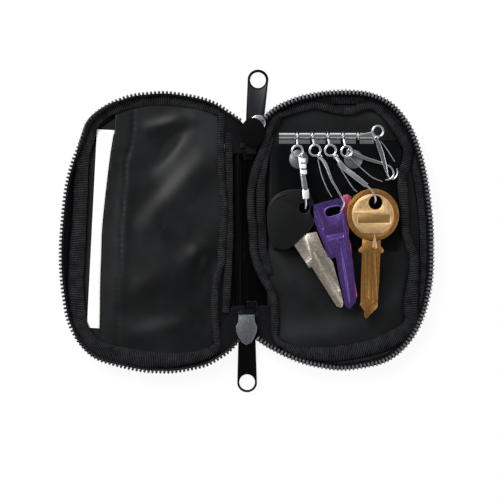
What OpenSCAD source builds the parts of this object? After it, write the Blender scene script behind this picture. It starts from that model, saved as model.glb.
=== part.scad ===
// Zip-round key case, opened flat like a book and lying on its back.
// X runs across the case to the right, Y up the page, Z towards the viewer.
// The origin is the middle of the spine's outer face, where the case lies on a table.

/* [Case] */
// Width of the spine between the two fold lines
spine_w = 14; // [12.8:0.2:16]
// Length of the spine between its cross seams
spine_len = 70.6; // [66:0.2:76]
// Width of a cover's floor from its fold line to the seam
floor_wid = 67; // [64:1:76]
// Length of a cover's floor
floor_len = 108; // [104:1:120]
// Width of a cover's two outer corners
corner_w = 30; // [24:1:34]
// How far the curve of a cover's upper outer corner runs on past the middle of its side
upper_corner_past = 4; // [-12:1:4]
// How far short of the middle of the side the curve of the lower outer corner ends
lower_corner_short = 9; // [8:1:20]
// Width over which a cover narrows towards the spine
inner_w = 22; // [18:1:26]

/* [Cloth] */
// Thickness of the outer cloth
outer_t = 0.8; // [0.6:0.1:1]
// Thickness of the foam, and of the board in the spine
foam_t = 1.2; // [0.8:0.1:1.6]
// Thickness of the satin lining
lining_t = 0.4; // [0.3:0.1:0.6]
// How far the foam stays inside the seam
foam_inset = 2; // [1:0.5:4]
// Thickness of the ribbed binding
binding_t = 1.5; // [1:0.1:1.6]
// Width of the binding at the outer edge of the left cover
left_binding_w = 6; // [5:0.5:7]
// How far that binding leans out over the zip tape
left_lean = 3.5; // [3:0.1:3.8]
// Width of the binding along the spine and at the right cover's lower end
binding_w = 7; // [5:0.5:7.5]
// Width of the binding round the rest of the right cover
right_binding_w = 3.4; // [3:0.1:5]

/* [Zip] */
// How far the teeth stand outside the floor's seam
flare = 5.5; // [4.8:0.1:7]
// Thickness of the woven tape
tape_t = 0.6; // [0.4:0.1:0.8]
// Height of the zip's upper edge over the lining
zip_h = 6.2; // [5.6:0.1:6.4]
// Height of the toothed part of one chain half
teeth_h = 2; // [1.6:0.1:2.4]
// Thickness of the chain
chain_t = 2; // [1.6:0.1:2.2]

/* [Slider] */
// Length of a slider
slider_len = 12.4; // [11:0.2:13]
// Width of a slider
slider_w = 9.3; // [8:0.1:9.6]
// Thickness of a slider's plates
plate_t = 1; // [0.8:0.1:1.2]
// Height of the channel for the chain
channel_h = 2.4; // [2.2:0.1:3]
// Thickness of a pull tab
tab_t = 1.1; // [0.8:0.1:1.2]
// Width of a pull tab at its round end
tab_w = 8.8; // [8.2:0.1:10]
// Width of a pull tab at the slider
tab_neck_w = 7.2; // [6:0.1:8]
// Distance of a pull tab's hole from its pivot
tab_reach = 22.3; // [18:0.1:28]
// Diameter of the hole in a pull tab
tab_hole_d = 6.9; // [5:0.1:7.2]
// Sideways place of the top slider
top_slider_x = 0.4; // [0:0.1:0.6]
// Sideways place of the bottom slider
bottom_slider_x = -0.4; // [-0.6:0.1:0]

/* [Card pocket] */
// Long side of the card
card_len = 85; // [80:1:86]
// Short side of the card
card_wid = 55; // [50:1:56]
// Thickness of the card
card_t = 0.4; // [0.2:0.1:0.5]
// Distance of the card's middle from the left fold line
card_u = 33.2; // [32:0.2:34]
// Distance of the pocket's open edge from the left fold line
pocket_u = 56; // [50:0.5:58]

/* [Key bar] */
// Length of the bar
bar_len = 40.6; // [38:0.2:44]
// Outer diameter of the bar's tubes
bar_d = 3.4; // [3:0.1:3.6]
// Diameter of the rod inside the tubes
rod_d = 1.6; // [1.2:0.1:1.8]
// Distance of the bar's middle from the right fold line
bar_u = 25.7; // [25:0.1:27]
// Distance of the bar from the upper seam of the floor
bar_drop = 13.1; // [12.6:0.1:14]
// Distance between the gaps in the bar
gap_pitch = 6.5; // [6.2:0.1:6.8]
// Width of a gap
gap_w = 1.7; // [1.6:0.1:2.2]
// Width of the backing patch
patch_wid = 54.7; // [52:0.1:56]
// Length of the backing patch
patch_len = 44.7; // [40:0.1:48]
// Thickness of the backing patch
patch_t = 0.5; // [0.3:0.1:0.6]
// Diameter of a rivet's head
rivet_d = 8; // [6:0.5:9]
// Distance between the two rivets
rivet_pitch = 23.4; // [20:0.2:26]

/* [Hooks] */
// Diameter of a link's wire
link_wire = 1; // [0.8:0.1:1.1]
// Distance of a link's ring from the bar
link_len = 7.2; // [6.8:0.1:8]
// Radius of a link's ring
ring_r = 2.3; // [2:0.1:2.6]
// Radius of a hook's eye
eye_r = 1.3; // [1.2:0.05:1.4]
// Width of a hook's strap
strap_w = 2.1; // [1.6:0.1:2.4]
// Thickness of a hook's strap
strap_t = 0.7; // [0.5:0.1:0.8]
// Diameter of a hook's curl
curl_wire = 1.1; // [0.9:0.1:1.1]
// Radius of a hook's curl
curl_r = 2.8; // [2.7:0.05:2.9]
// Diameter of a gate's spring wire
gate_wire = 0.7; // [0.5:0.1:0.8]

/* [Keys] */
// Diameter of the brass key's head
brass_head_d = 22.2; // [20:0.1:22.4]
// Length of the brass key below its hole
brass_len = 49; // [44:0.5:52]
// Width of the brass key's blade
brass_blade_w = 8; // [7:0.1:8.4]
// Length of the purple key below its hole
purple_len = 41.8; // [38:0.2:44]
// Length of the black key below its hole
black_len = 42.5; // [40:0.1:43]
// Thickness of the black key's bow
bow_t = 3.4; // [2.8:0.1:3.5]
// Thickness of the metal keys
key_t = 1.7; // [1.4:0.1:1.8]
// Thickness of the pink key
pink_t = 1.4; // [1.2:0.1:1.5]

/* [Hidden] */
$fn = 48;

// Clearances
over = 0.1;
fold_gap = 0.3;
clear = 0.3;
seam_gap = 0.1;
pin_clear = 0.06;

// Levels of the floor
foam_z = outer_t;
lining_z = foam_z + foam_t;
floor_z = lining_z + lining_t;
fold_x = spine_w / 2;
inner_h = (floor_len - spine_len) / 2;

// Steps of the sampled curves
inner_steps = 14;
corner_steps = 14;
// How square the outer corners are: 2 is an ellipse
corner_power_share = 2.25;
upper_corner_h = floor_len / 2 + upper_corner_past;
lower_corner_h = floor_len / 2 - lower_corner_short;

// Zip tape: foot, knee and upper end, as distances out from the seam and heights over the lining
tape_foot = 1;
knee_out = 3.8;
knee_drop = 0.3;
tape_top = 1.4;
cord_top = zip_h - teeth_h;

// Closed chain in the slider, and the slider's place
chain_z = 5;
slider_gap = 0.7;
slider_y = spine_len / 2 + slider_gap + slider_len / 2;
nose_clear = 0.4;
channel_low = chain_z - channel_h / 2;
plate_low = channel_low - plate_t;
arch_t = 1;
arch_z = 0.2;
arch_w = 2;
arch_leg = 1.2;
arch_half = 4.2;
tab_gap = 0.25;
tab_z = plate_low - tab_gap - tab_t;
tab_slot_w = arch_w + 2 * clear;
tab_bar = 0.45;
rail_h = 0.5;
rail_in = 3.1;
post_w = 1.2;
top_yaw = -5;

// Key bar
bar_z = 4.6;
plate_gauge = 0.8;
patch_z = floor_z + plate_gauge;
patch_top = patch_z + patch_t;
bar_x = fold_x + bar_u;
bar_y = floor_len / 2 - bar_drop;
bar_plate_h = 18;
patch_drop = 26.55;
patch_aside = 4.95;
patch_y = bar_y - patch_drop;
patch_x = bar_x + patch_aside;
rivet_drop = 9.9;
rivet_aside = -0.2;
rivet_y = bar_y - rivet_drop;
rivet_x = bar_x + rivet_aside;
rivet_head_t = 0.8;
shank_d = 3;
washer_d = 7;
washer_t = 0.5;

// Hooks: lean of each link, turn of each hook, level of its ring, length to the curl, side of the gate
link_leans = [0, 9, 9, 12, 78];
hook_turns = [3.4, 19.1, 40.7, 58, 22];
ring_levels = [7.4, 7.7, 7.7, 6.4, 7.25];
hook_lens = [19, 22.6, 23.6, 14.5, 13.6];
curl_levels = [8.2, 7.95, 7.95, 5.3, 4.9];
gate_sides = [0, 0, 0, -1, 1];
link_5_reach = 8.2;
link_5_rise = 1.7;

// Keys: turn, place and level of each
black_turn = 0;
black_z = 6.7;
blade_inset = 0.8;
purple_turn = 10.6;
purple_z = 8.2;
pink_z = 6.5;
brass_turn = -2.5;
brass_z = 8.1;
// Middle of each key's hole, sideways and up the page from the middle of its hook's curl
black_seat = [0.04, -2.40];
purple_seat = [-0.56, -2.55];
brass_seat = [2.19, -2.55];

// Points on an ellipse's arc, with the outward direction at each
function arcStations(cu, cy, ru, ry, from, to, steps) =
    [for (i = [0:steps]) let (a = from + (to - from) * i / steps)
        [cu + ru * cos(a), cy + ry * sin(a), cos(a), sin(a)]];

// Points on a squared ellipse's quarter, from its upper end to its side, with the outward normal at each
function cornerStations(height) = let (
        cu = floor_wid - corner_w, cy = floor_len / 2 - height, p = 2 / corner_power_share)
    [for (i = [0:corner_steps]) let (
            a = 90 - 90 * i / corner_steps, nu = pow(cos(a), 2 - p) / corner_w, ny = pow(sin(a), 2 - p) / height)
        [cu + corner_w * pow(cos(a), p), cy + height * pow(sin(a), p), nu / norm([nu, ny]), ny / norm([nu, ny])]];

// Stations along the seam of a cover, from the spine's upper end round to its lower end
function seamStations(start) = let (
        inner = arcStations(inner_w, spine_len / 2, inner_w, inner_h, start, 90, inner_steps),
        upper = concat(inner, cornerStations(upper_corner_h)),
        lower = concat(inner, cornerStations(lower_corner_h)))
    concat(upper, [for (i = [len(lower) - 1:-1:0]) [lower[i][0], -lower[i][1], lower[i][2], -lower[i][3]]]);

// Outline of a cover's floor, drawn in by a margin
function floorOutline(inset) = [for (s = seamStations(180)) [s[0] - inset * s[2], s[1] - inset * s[3]]];

// Carries a cover's piece to its side: 1 is right, -1 is left
module onCover(side) {
    mirror([side < 0 ? 1 : 0, 0, 0]) translate([fold_x, 0, 0]) children();
}

// Slab of a cover's floor shape, clear of the fold line
module floorSlab(inset, z, t) {
    translate([0, 0, z]) linear_extrude(t) difference() {
        polygon(floorOutline(inset));
        translate([-inner_w + fold_gap / 2, -floor_len]) square([inner_w, 2 * floor_len]);
    }
}

// Flat band between two margins of a cover's floor
module floorBand(outer, inner, z, t) {
    translate([0, 0, z]) linear_extrude(t) difference() {
        polygon(floorOutline(outer));
        polygon(floorOutline(inner));
    }
}

// Solid swept along stations [x, y, out x, out y, rise] from a closed profile of [out, z] points
module sweepProfile(stations, profile) {
    n = len(profile);
    m = len(stations);
    points = [for (s = stations) for (p = profile)
        [s[0] + p[0] * s[2], s[1] + p[0] * s[3], p[1] + (len(s) > 4 ? s[4] : 0)]];
    sides = [for (k = [0:m - 2]) for (j = [0:n - 1]) let (
            a = k * n + j, b = k * n + (j + 1) % n, c = a + n, d = b + n)
        each [[a, d, b], [a, c, d]]];
    ends = [for (j = [1:n - 2]) each [[0, j, j + 1], [(m - 1) * n, (m - 1) * n + j + 1, (m - 1) * n + j]]];
    polyhedron(points, concat(sides, ends));
}

// Round wire between two points
module wire(a, b, d) {
    v = b - a;
    translate(a) rotate([0, acos(v[2] / norm(v)), atan2(v[1], v[0])]) cylinder(h = norm(v), d = d);
}

// Ring of round wire, lying flat
module wireRing(r, d) {
    rotate_extrude() translate([r, 0]) circle(d = d, $fn = 24);
}

/* Spine */

module spineSlab(z, t, inset) {
    translate([-fold_x + fold_gap / 2 + inset, -spine_len / 2 + inset, z])
        cube([spine_w - fold_gap - 2 * inset, spine_len - 2 * inset, t]);
}

module spineOuterPanel() { color("#1C1D1F") spineSlab(0, outer_t, 0); }

module spineBoard() { color("#8A8378") spineSlab(foam_z, foam_t, foam_inset / 2); }

module spineLining() { color("#23272B") spineSlab(lining_z, lining_t, 0); }

seam_tape_w = 3.4;
seam_tape_t = 1.1;
seam_tape_l = spine_w - 2 * (binding_t + 3 * clear);
module crossSeamBindings() {
    color("#2A2A2C") for (end = [-1, 1])
        translate([-seam_tape_l / 2, end * (spine_len / 2 - seam_tape_w / 2) - seam_tape_w / 2, floor_z])
            cube([seam_tape_l, seam_tape_w, seam_tape_t]);
}

// Binding of the right fold seam, a roll and its flat edge, flopped over the spine
roll_d = 2.6;
roll_x = -0.4;
fold_flap_t = 1;
module spineFoldBinding() {
    length = spine_len - 2 * seam_tape_w - 2 * clear;
    color("#2A2A2C") translate([0, length / 2, floor_z + seam_gap]) rotate([90, 0, 0])
        linear_extrude(length) union() {
            translate([roll_x, roll_d / 2]) circle(d = roll_d);
            translate([roll_x, 0]) square([fold_x - roll_x - 2 * fold_gap, fold_flap_t]);
        }
}

// Ends of the zip under the cross seams, each reaching just into its slider
zip_end_w = 5;
zip_end_l = 3;
zip_end_in = 0.9;
module zipEnds() {
    color("#151516") for (end = [-1, 1]) translate([end > 0 ? top_slider_x : bottom_slider_x, 0, 0]) {
        top = chain_z + chain_t / 2;
        low = floor_z + seam_tape_t;
        translate([-zip_end_w / 2, end > 0 ? spine_len / 2 - zip_end_l : -spine_len / 2, low])
            cube([zip_end_w, zip_end_l, top - low]);
        translate([-zip_end_w / 2, end > 0 ? spine_len / 2 - over : -spine_len / 2 - slider_gap - zip_end_in,
                chain_z - chain_t / 2])
            cube([zip_end_w, zip_end_in + slider_gap + over, chain_t]);
    }
}

// Cloth flap over the top slider, domed by three steps of one rule
cover_w = 11.2;
cover_l = 11;
cover_t = 0.8;
cover_round = 4.5;
module zipEndCover() {
    base = chain_z + channel_h / 2 + plate_t + clear;
    color("#151516") translate([top_slider_x - cover_w / 2, spine_len / 2 - zip_end_l, base]) {
        linear_extrude(cover_t) union() {
            square([cover_w, cover_l - cover_round]);
            translate([cover_round, 0]) square([cover_w - 2 * cover_round, cover_l]);
            for (x = [cover_round, cover_w - cover_round])
                translate([x, cover_l - cover_round]) circle(r = cover_round);
        }
        translate([0, 0, chain_z + chain_t / 2 - base]) cube([cover_w, zip_end_l - clear, base - chain_z - chain_t / 2 + over]);
    }
}

/* Covers */

module outerPanel(side) { color("#1C1D1F") onCover(side) floorSlab(0, 0, outer_t); }

module foamSheet(side) {
    color("#C9C4B8") onCover(side) difference() {
        floorSlab(foam_inset, foam_z, foam_t);
        if (side > 0) translate([-fold_x, 0, 0]) rivetPlaces()
            translate([0, 0, foam_z - over]) cylinder(h = foam_t + 2 * over, d = washer_d + 2 * clear);
    }
}

module liningSheet(side) {
    color("#23272B") onCover(side) difference() {
        floorSlab(0, lining_z, lining_t);
        if (side > 0) translate([-fold_x, 0, 0]) rivetPlaces()
            translate([0, 0, lining_z - over]) cylinder(h = lining_t + 2 * over, d = shank_d + 2 * pin_clear);
    }
}

// Woven zip tape: its foot at the seam, a knee, and the start of the upright part
tape_start = 128;
module zipTape(side) {
    foot = floor_z - tape_foot;
    knee = floor_z - knee_drop;
    color("#151516") onCover(side) sweepProfile(seamStations(tape_start), [
        [seam_gap, foot - tape_t], [knee_out + tape_t, knee - tape_t], [flare + tape_t / 2, floor_z + tape_top - tape_t],
        [flare + tape_t / 2, floor_z + tape_top],
        [flare - tape_t / 2, floor_z + tape_top], [flare - tape_t / 2, floor_z + tape_top - tape_t],
        [knee_out, knee], [seam_gap, foot]]);
}

// Section of the upper edge of the tape with its row of teeth
function teethProfile() = let (
        low = floor_z + tape_top, neck = floor_z + cord_top, top = floor_z + zip_h)
    [[flare - tape_t / 2, low], [flare + tape_t / 2, low], [flare + tape_t / 2, neck],
        [flare + chain_t / 2, neck], [flare + chain_t / 2, top], [flare - chain_t / 2, top],
        [flare - chain_t / 2, neck], [flare - tape_t / 2, neck]];

teeth_start = 128;
module zipTeeth(side) {
    color("#0E0E0F") onCover(side) sweepProfile(seamStations(teeth_start), teethProfile());
}

// Flexible stretches of the same edge, from each slider's nose up to the cover
run_sag = 0.8;
nose_part = 1.6;
run_steps = 4;
run_gap_share = 0.04;
module zipRun(side) {
    first = seamStations(teeth_start)[0];
    for_nose = [-fold_x + chain_t / 2 + nose_part, slider_y + slider_len / 2 + nose_clear];
    nose = [for_nose[0] - flare * first[2], for_nose[1] - (flare - chain_t / 2) * first[3]];
    run = [for (i = [0:run_steps]) let (t = (1 - run_gap_share) * i / run_steps)
        [nose[0] + (first[0] - nose[0]) * t, nose[1] + (first[1] - nose[1]) * t, first[2], first[3],
            -run_sag * (1 - t)]];
    color("#0E0E0F") onCover(side) for (end = [0, 1]) mirror([0, end, 0]) sweepProfile(run, teethProfile());
}

// Binding on the left cover: leaning out over the zip at the outer edge, flopped in along the spine
turn_u = 15;
binding_lift = 0.2;
flop_lift = 0.6;
flop_t = 1.2;
module leftBinding() {
    z = floor_z + flop_lift;
    color("#2A2A2C") onCover(-1) {
        intersection() {
            floorBand(-left_lean, left_binding_w - left_lean, z, binding_t);
            translate([turn_u, -floor_len, 0]) cube([2 * floor_wid, 2 * floor_len, z + 2 * binding_t]);
        }
        intersection() {
            floorBand(2 * fold_gap, binding_w, floor_z + flop_lift, flop_t);
            translate([0, -floor_len, 0]) cube([turn_u + over, 2 * floor_len, z + 2 * binding_t]);
        }
    }
}

module rightBinding() {
    z = floor_z + binding_lift;
    stop_y = bar_y + bar_d / 2 + 2 * clear;
    color("#2A2A2C") onCover(1) difference() {
        union() {
            floorBand(clear, right_binding_w + clear, z, binding_t);
            intersection() {
                floorBand(clear, binding_w + clear, z, binding_t);
                translate([0, -floor_len, 0]) cube([floor_wid, floor_len / 2 + binding_w + clear, z + 2 * binding_t]);
            }
        }
        translate([-over, -stop_y, 0]) cube([2 * binding_w, 2 * stop_y, z + 2 * binding_t]);
    }
}

/* Card pocket */

card_z = floor_z + seam_gap;
pocket_gap = 0.3;
pocket_t = 0.5;
pocket_slant = 2.2;
card_turn = -2.9;
pocket_edge_shares = [[1, 0.42], [1.01, 0.3], [1.03, 0.1], [1.05, -0.1], [1.07, -0.3], [1.075, -0.42]];
module pocketPanel() {
    z = card_z + card_t + pocket_gap;
    color("#202428") onCover(-1) translate([0, 0, z]) linear_extrude(pocket_t) intersection() {
        polygon(floorOutline(binding_w + clear));
        polygon(concat([[0, 0.5 * floor_len]],
            [[pocket_u, 0.5 * floor_len]],
            [for (s = pocket_edge_shares) [pocket_u * s[0], floor_len * s[1]]],
            [[pocket_u, -0.5 * floor_len], [0, -0.5 * floor_len]]));
    }
}

module card() {
    color("#F4F4F2") translate([-fold_x - card_u, 0, card_z]) rotate([0, 0, card_turn])
        translate([-card_wid / 2, -card_len / 2, 0]) cube([card_wid, card_len, card_t]);
}

/* Key bar */

first_gap = 7.7;
function gapX(n) = bar_x - bar_len / 2 + first_gap + (n - 1) * gap_pitch;

module rivetPlaces() {
    for (s = [-1, 1]) translate([rivet_x + s * rivet_pitch / 2, rivet_y, 0]) children();
}

module keyPatch() {
    color("#1F2327") difference() {
        translate([0, 0, patch_z]) linear_extrude(patch_t) intersection() {
            translate([patch_x - patch_wid / 2, patch_y - patch_len / 2]) square([patch_wid, patch_len]);
            translate([fold_x, 0]) polygon(floorOutline(right_binding_w + 2 * clear));
        }
        rivetPlaces() translate([0, 0, patch_z - over]) cylinder(h = patch_t + 2 * over, d = shank_d + 2 * pin_clear);
    }
}

// Steel plate behind the patch, its upper edge rolled into the six tubes of the bar
module keyBar() {
    color("#D9DBDD") difference() {
        union() {
            translate([bar_x - bar_len / 2, bar_y, bar_z]) rotate([0, 90, 0]) cylinder(h = bar_len, d = bar_d);
            translate([bar_x - bar_len / 2, bar_y - bar_plate_h, floor_z]) cube([bar_len, bar_plate_h, plate_gauge]);
        }
        translate([bar_x - bar_len / 2 - over, bar_y, bar_z]) rotate([0, 90, 0])
            cylinder(h = bar_len + 2 * over, d = rod_d + 2 * pin_clear);
        for (n = [1:5]) translate([gapX(n) - gap_w / 2, bar_y - bar_d - clear, 0])
            cube([gap_w, 2 * (bar_d + clear), bar_z + bar_d]);
        rivetPlaces() translate([0, 0, floor_z - over])
            cylinder(h = plate_gauge + 2 * over, d = shank_d + 2 * pin_clear);
    }
}

module barRod() {
    color("#B9BCBF") translate([bar_x - bar_len / 2, bar_y, bar_z]) rotate([0, 90, 0])
        cylinder(h = bar_len, d = rod_d);
}

module rivets() {
    color("#8C9092") rivetPlaces() {
        translate([0, 0, foam_z]) cylinder(h = patch_top - foam_z + over, d = shank_d);
        translate([0, 0, patch_top]) intersection() {
            cylinder(h = rivet_head_t, d = rivet_d);
            r = (rivet_d * rivet_d / 4 + rivet_head_t * rivet_head_t) / (2 * rivet_head_t);
            translate([0, 0, rivet_head_t - r]) sphere(r = r, $fn = 96);
        }
    }
}

module rivetWashers() {
    color("#8C9092") rivetPlaces() translate([0, 0, lining_z - washer_t]) difference() {
        cylinder(h = washer_t, d = washer_d);
        translate([0, 0, -over]) cylinder(h = washer_t + 2 * over, d = shank_d + 2 * pin_clear);
    }
}

/* Sliders */

slider_tail_share = 0.76;
slider_belly_share = 0.44;
// Outline of a slider's plate: flat tail at the spine, widest in the middle, rounded nose
function sliderOutline() = let (w = slider_w / 2, tail = -slider_len / 2,
        belly = tail + slider_len * slider_belly_share)
    concat([[w * slider_tail_share, tail], [w, belly]],
        [for (a = [0:10:180]) [w * cos(a), belly + (slider_len / 2 - belly) * pow(sin(a), 0.7)]],
        [[-w, belly], [-w * slider_tail_share, tail]]);

module slider(dark) {
    color(dark) difference() {
        union() {
            for (z = [plate_low, channel_low + channel_h]) translate([0, 0, z])
                linear_extrude(plate_t) polygon(sliderOutline());
            for (z = [channel_low - over, channel_low + channel_h - rail_h]) translate([0, 0, z])
                linear_extrude(rail_h + over) difference() {
                    intersection() {
                        polygon(sliderOutline());
                        translate([-slider_w, -slider_len / 2]) square([2 * slider_w, slider_len * 2 / 3]);
                    }
                    translate([-rail_in, -slider_len]) square([2 * rail_in, 2 * slider_len]);
                }
            translate([-post_w / 2, slider_len * 0.12, channel_low - over])
                cube([post_w, slider_len * 0.3, channel_h + 2 * over]);
            translate([-arch_w / 2, -arch_half, arch_z]) cube([arch_w, 2 * arch_half, arch_t]);
            for (y = [-arch_half, arch_half - arch_leg]) translate([-arch_w / 2, y, arch_z])
                cube([arch_w, arch_leg, plate_low - arch_z + over]);
        }
    }
}

// Pull tab with a slot round the slider's arch and a round hole at its far end
function tabOutline() = concat([[-tab_neck_w / 2, -tab_bar], [tab_neck_w / 2, -tab_bar]],
    [for (a = [0:7.5:180]) [tab_w / 2 * cos(a), tab_reach + tab_w / 2 * sin(a)]]);

slot_len = 4.8;
module pullTab() {
    translate([0, 0, tab_z]) difference() {
        linear_extrude(tab_t) polygon(tabOutline());
        translate([-tab_slot_w / 2, tab_bar, -over]) cube([tab_slot_w, slot_len - tab_bar, tab_t + 2 * over]);
        translate([0, tab_reach, -over]) cylinder(h = tab_t + 2 * over, d = tab_hole_d);
    }
}

module atTop() { translate([top_slider_x, slider_y, 0]) rotate([0, 0, top_yaw]) children(); }

module atBottom() { translate([bottom_slider_x, -slider_y, 0]) rotate([0, 0, 180]) children(); }

/* Hooks */

function ringLean(n) = link_leans[n - 1];
// Middle of a link's ring
function ringAt(n) = n == 5
    ? [gapX(5) + link_5_reach, bar_y + link_5_rise, ring_levels[4]]
    : let (dz = ring_levels[n - 1] - bar_z, flat = sqrt(link_len * link_len - dz * dz))
        [gapX(n) + flat * sin(ringLean(n)), bar_y - flat * cos(ringLean(n)), ring_levels[n - 1]];
// Where a hook's eye goes round its ring
function eyeAt(n) = ringAt(n) + ring_r * [sin(hook_turns[n - 1]), -cos(hook_turns[n - 1]), 0];

// Middle of a hook's curl in plan
function curlAt(n) = let (e = eyeAt(n), a = hook_turns[n - 1], reach = hook_lens[n - 1])
    [e[0] + reach * sin(a), e[1] - reach * cos(a)];

loop_clear = 0.15;
link_bite = 0.25;
module link(n) {
    loop_r = rod_d / 2 + loop_clear + link_wire / 2;
    ring = ringAt(n);
    hub = [gapX(n), bar_y, bar_z];
    color("#CFD2D4") {
        translate(hub) rotate([0, 90, 0]) wireRing(loop_r, link_wire);
        if (n == 5) {
            rise = [hub[0], hub[1], ring[2]];
            d = (ring - rise) / norm(ring - rise);
            wire([hub[0], hub[1], hub[2] + loop_r], rise, link_wire);
            translate(rise) sphere(d = link_wire, $fn = 24);
            wire(rise, ring - d * (ring_r - link_bite), link_wire);
        } else {
            d = (ring - hub) / norm(ring - hub);
            wire(hub + d * (loop_r - link_bite), ring - d * (ring_r - link_bite), link_wire);
        }
        translate(ring) wireRing(ring_r, link_wire);
    }
}

// Runs its children in the frame of a hook: eye at the origin, hook towards -Y
module atEye(n) { translate(eyeAt(n)) rotate([0, 0, hook_turns[n - 1]]) children(); }

strap_in = 1.1;
curl_past = 20;
module hook(n) {
    reach = hook_lens[n - 1];
    drop = curl_levels[n - 1] - ring_levels[n - 1];
    side = gate_sides[n - 1];
    top = side == 0 ? drop + curl_r : drop;
    start_z = side == 0 ? eye_r : 0;
    rise = atan2(top - start_z, reach - strap_in);
    color("#C4C7CA") atEye(n) {
        rotate([0, 90, 0]) wireRing(eye_r, 0.9 * link_wire);
        translate([0, -strap_in, start_z]) rotate([-rise, 0, 0])
            translate([-strap_w / 2, -norm([top - start_z, reach - strap_in]), -strap_t / 2])
            cube([strap_w, norm([top - start_z, reach - strap_in]), strap_t]);
        if (side == 0)
            translate([0, -reach, drop]) rotate([90, 0, -90]) rotate([0, 0, -90 - curl_past])
                rotate_extrude(angle = 180 + curl_past) translate([curl_r, 0]) circle(d = curl_wire, $fn = 24);
        else
            translate([side * curl_r, -reach, drop]) rotate([0, 0, side > 0 ? 180 : 180 - curl_past])
                rotate_extrude(angle = 180 + curl_past) translate([curl_r, 0]) circle(d = curl_wire, $fn = 24);
    }
}

// Spring wire that closes a hook, from just under the eye to the curl's tip
gate_back = 2.7;
gate_short = 1.6;
gate_low = 1.2;
module gate(n) {
    reach = hook_lens[n - 1];
    drop = curl_levels[n - 1] - ring_levels[n - 1];
    side = gate_sides[n - 1];
    color("#B4B8BB") atEye(n)
        if (side == 0) wire([0, -gate_back, -gate_low], [0, -reach + gate_short + over, drop - curl_r + clear], gate_wire);
        else wire([side * (strap_w / 2 + clear + gate_wire / 2), -gate_back, drop], [side * 2 * curl_r - side * clear, -reach + gate_short + over, drop], gate_wire);
}

/* Keys */

brass_neck_shares = [[-1, -0.3], [-1, -0.86], [-0.55, -0.91], [-0.45, -0.99], [0, -0.99], [0.95, -0.89], [1, -0.86], [1, -0.3]];
lobe_r = 1.1;
head_off = [-0.9, -5.2];
brass_hole_d = 5.7;
label_w = 13.9;
label_h = 3.9;
label_drop = 1.5;
face_deep = 0.3;
groove_w = 1.1;
module brassKey() {
    color("#B8935F") translate(concat(curlAt(3) + brass_seat, [brass_z])) rotate([0, 0, brass_turn]) difference() {
        union() {
            translate(head_off) cylinder(h = key_t, d = brass_head_d);
            translate([head_off[0], 0, 0]) linear_extrude(key_t)
                polygon([for (s = brass_neck_shares) [s[0] * brass_blade_w / 2, s[1] * brass_len]]);
            for (x = [-1, 1]) translate([head_off[0] + x * (brass_blade_w / 2 + lobe_r * 0.7), -brass_len * 0.42, 0])
                cylinder(h = key_t, r = lobe_r);
        }
        translate([0, 0, -over]) cylinder(h = key_t + 2 * over, d = brass_hole_d);
        translate([head_off[0] - label_w / 2, head_off[1] - label_drop - label_h / 2, key_t - face_deep])
            cube([label_w, label_h, face_deep + over]);
        for (x = [-1, 1]) translate([head_off[0] + x * groove_w - groove_w / 2, -brass_len * 0.88, key_t - face_deep])
            cube([groove_w * 0.7, brass_len * 0.5, face_deep + over]);
    }
}

purple_head_shares = [[-0.21, 0.07], [-0.19, 0.09], [0.06, 0.125], [0.09, 0.11], [0.093, -0.4], [0.07, -0.9],
    [-0.012, -1], [-0.055, -0.96], [-0.055, -0.455], [-0.13, -0.45], [-0.215, 0.03]];
d_hole_w = 7.7;
d_hole_h = 4.3;
purple_label_shares = [-0.15, -0.235];
module purpleBody(t, hole) {
    difference() {
        linear_extrude(t) polygon([for (s = purple_head_shares) purple_len * s]);
        translate([0, 0, -over]) linear_extrude(t + 2 * over) intersection() {
            square([d_hole_w, d_hole_h], center = true);
            circle(d = d_hole_w);
        }
    }
}

module purpleKey() {
    color("#4B2A7A") translate(concat(curlAt(2) + purple_seat, [purple_z]))
        rotate([0, 0, purple_turn]) difference() {
            purpleBody(key_t);
            translate([-purple_len * 0.01, -purple_len * 0.92, key_t - face_deep])
                cube([groove_w, purple_len * 0.55, face_deep + over]);
        }
}

pink_shift = [1.3, 1.6];
module pinkKey() {
    color("#D0567F") translate(concat(curlAt(2) + purple_seat, [pink_z]))
        rotate([0, 0, purple_turn]) difference() {
            translate([pink_shift[0] - purple_len * 0.02, pink_shift[1] * 0.5, 0]) scale(0.97) purpleBody(pink_t / 0.97);
            translate([0, 0, -over]) cylinder(h = pink_t + 2 * over, d = d_hole_h + 2 * clear);
        }
}

bow_shares = [[-0.131, -0.05, 0.205], [-0.126, -0.241, 0.18], [-0.01, 0.04, 0.078]];
black_hole_d = 3.8;
module blackKeyBow() {
    color("#26282A") translate(concat(curlAt(1) + black_seat, [black_z])) rotate([0, 0, black_turn]) difference() {
        linear_extrude(bow_t) hull() for (s = bow_shares)
            translate([s[0] * black_len, s[1] * black_len]) circle(r = s[2] * black_len);
        translate([0, 0, -over]) cylinder(h = bow_t + 2 * over, d = black_hole_d);
        translate([0, 0, blade_inset]) linear_extrude(key_t) polygon([for (s = black_blade_shares) black_len * s]);
    }
}

black_blade_shares = [[-0.066, -0.386], [0.083, -0.612], [0.108, -0.6], [0.354, -0.985], [0.41, -1], [0.408, -0.934],
    [0.347, -0.633], [0.307, -0.558], [0.222, -0.499], [0.111, -0.25], [0, -0.2], [-0.08, -0.3]];
module blackKeyBlade() {
    color("#B5ADA0") translate(concat(curlAt(1) + black_seat, [black_z + blade_inset])) rotate([0, 0, black_turn]) difference() {
        linear_extrude(key_t) polygon([for (s = black_blade_shares) black_len * s]);
        translate([black_len * 0.12, -black_len * 0.45, key_t - face_deep]) rotate([0, 0, 31.5])
            translate([-groove_w / 2, -black_len * 0.55, 0]) cube([groove_w, black_len * 0.55, face_deep + over]);
    }
}

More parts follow.
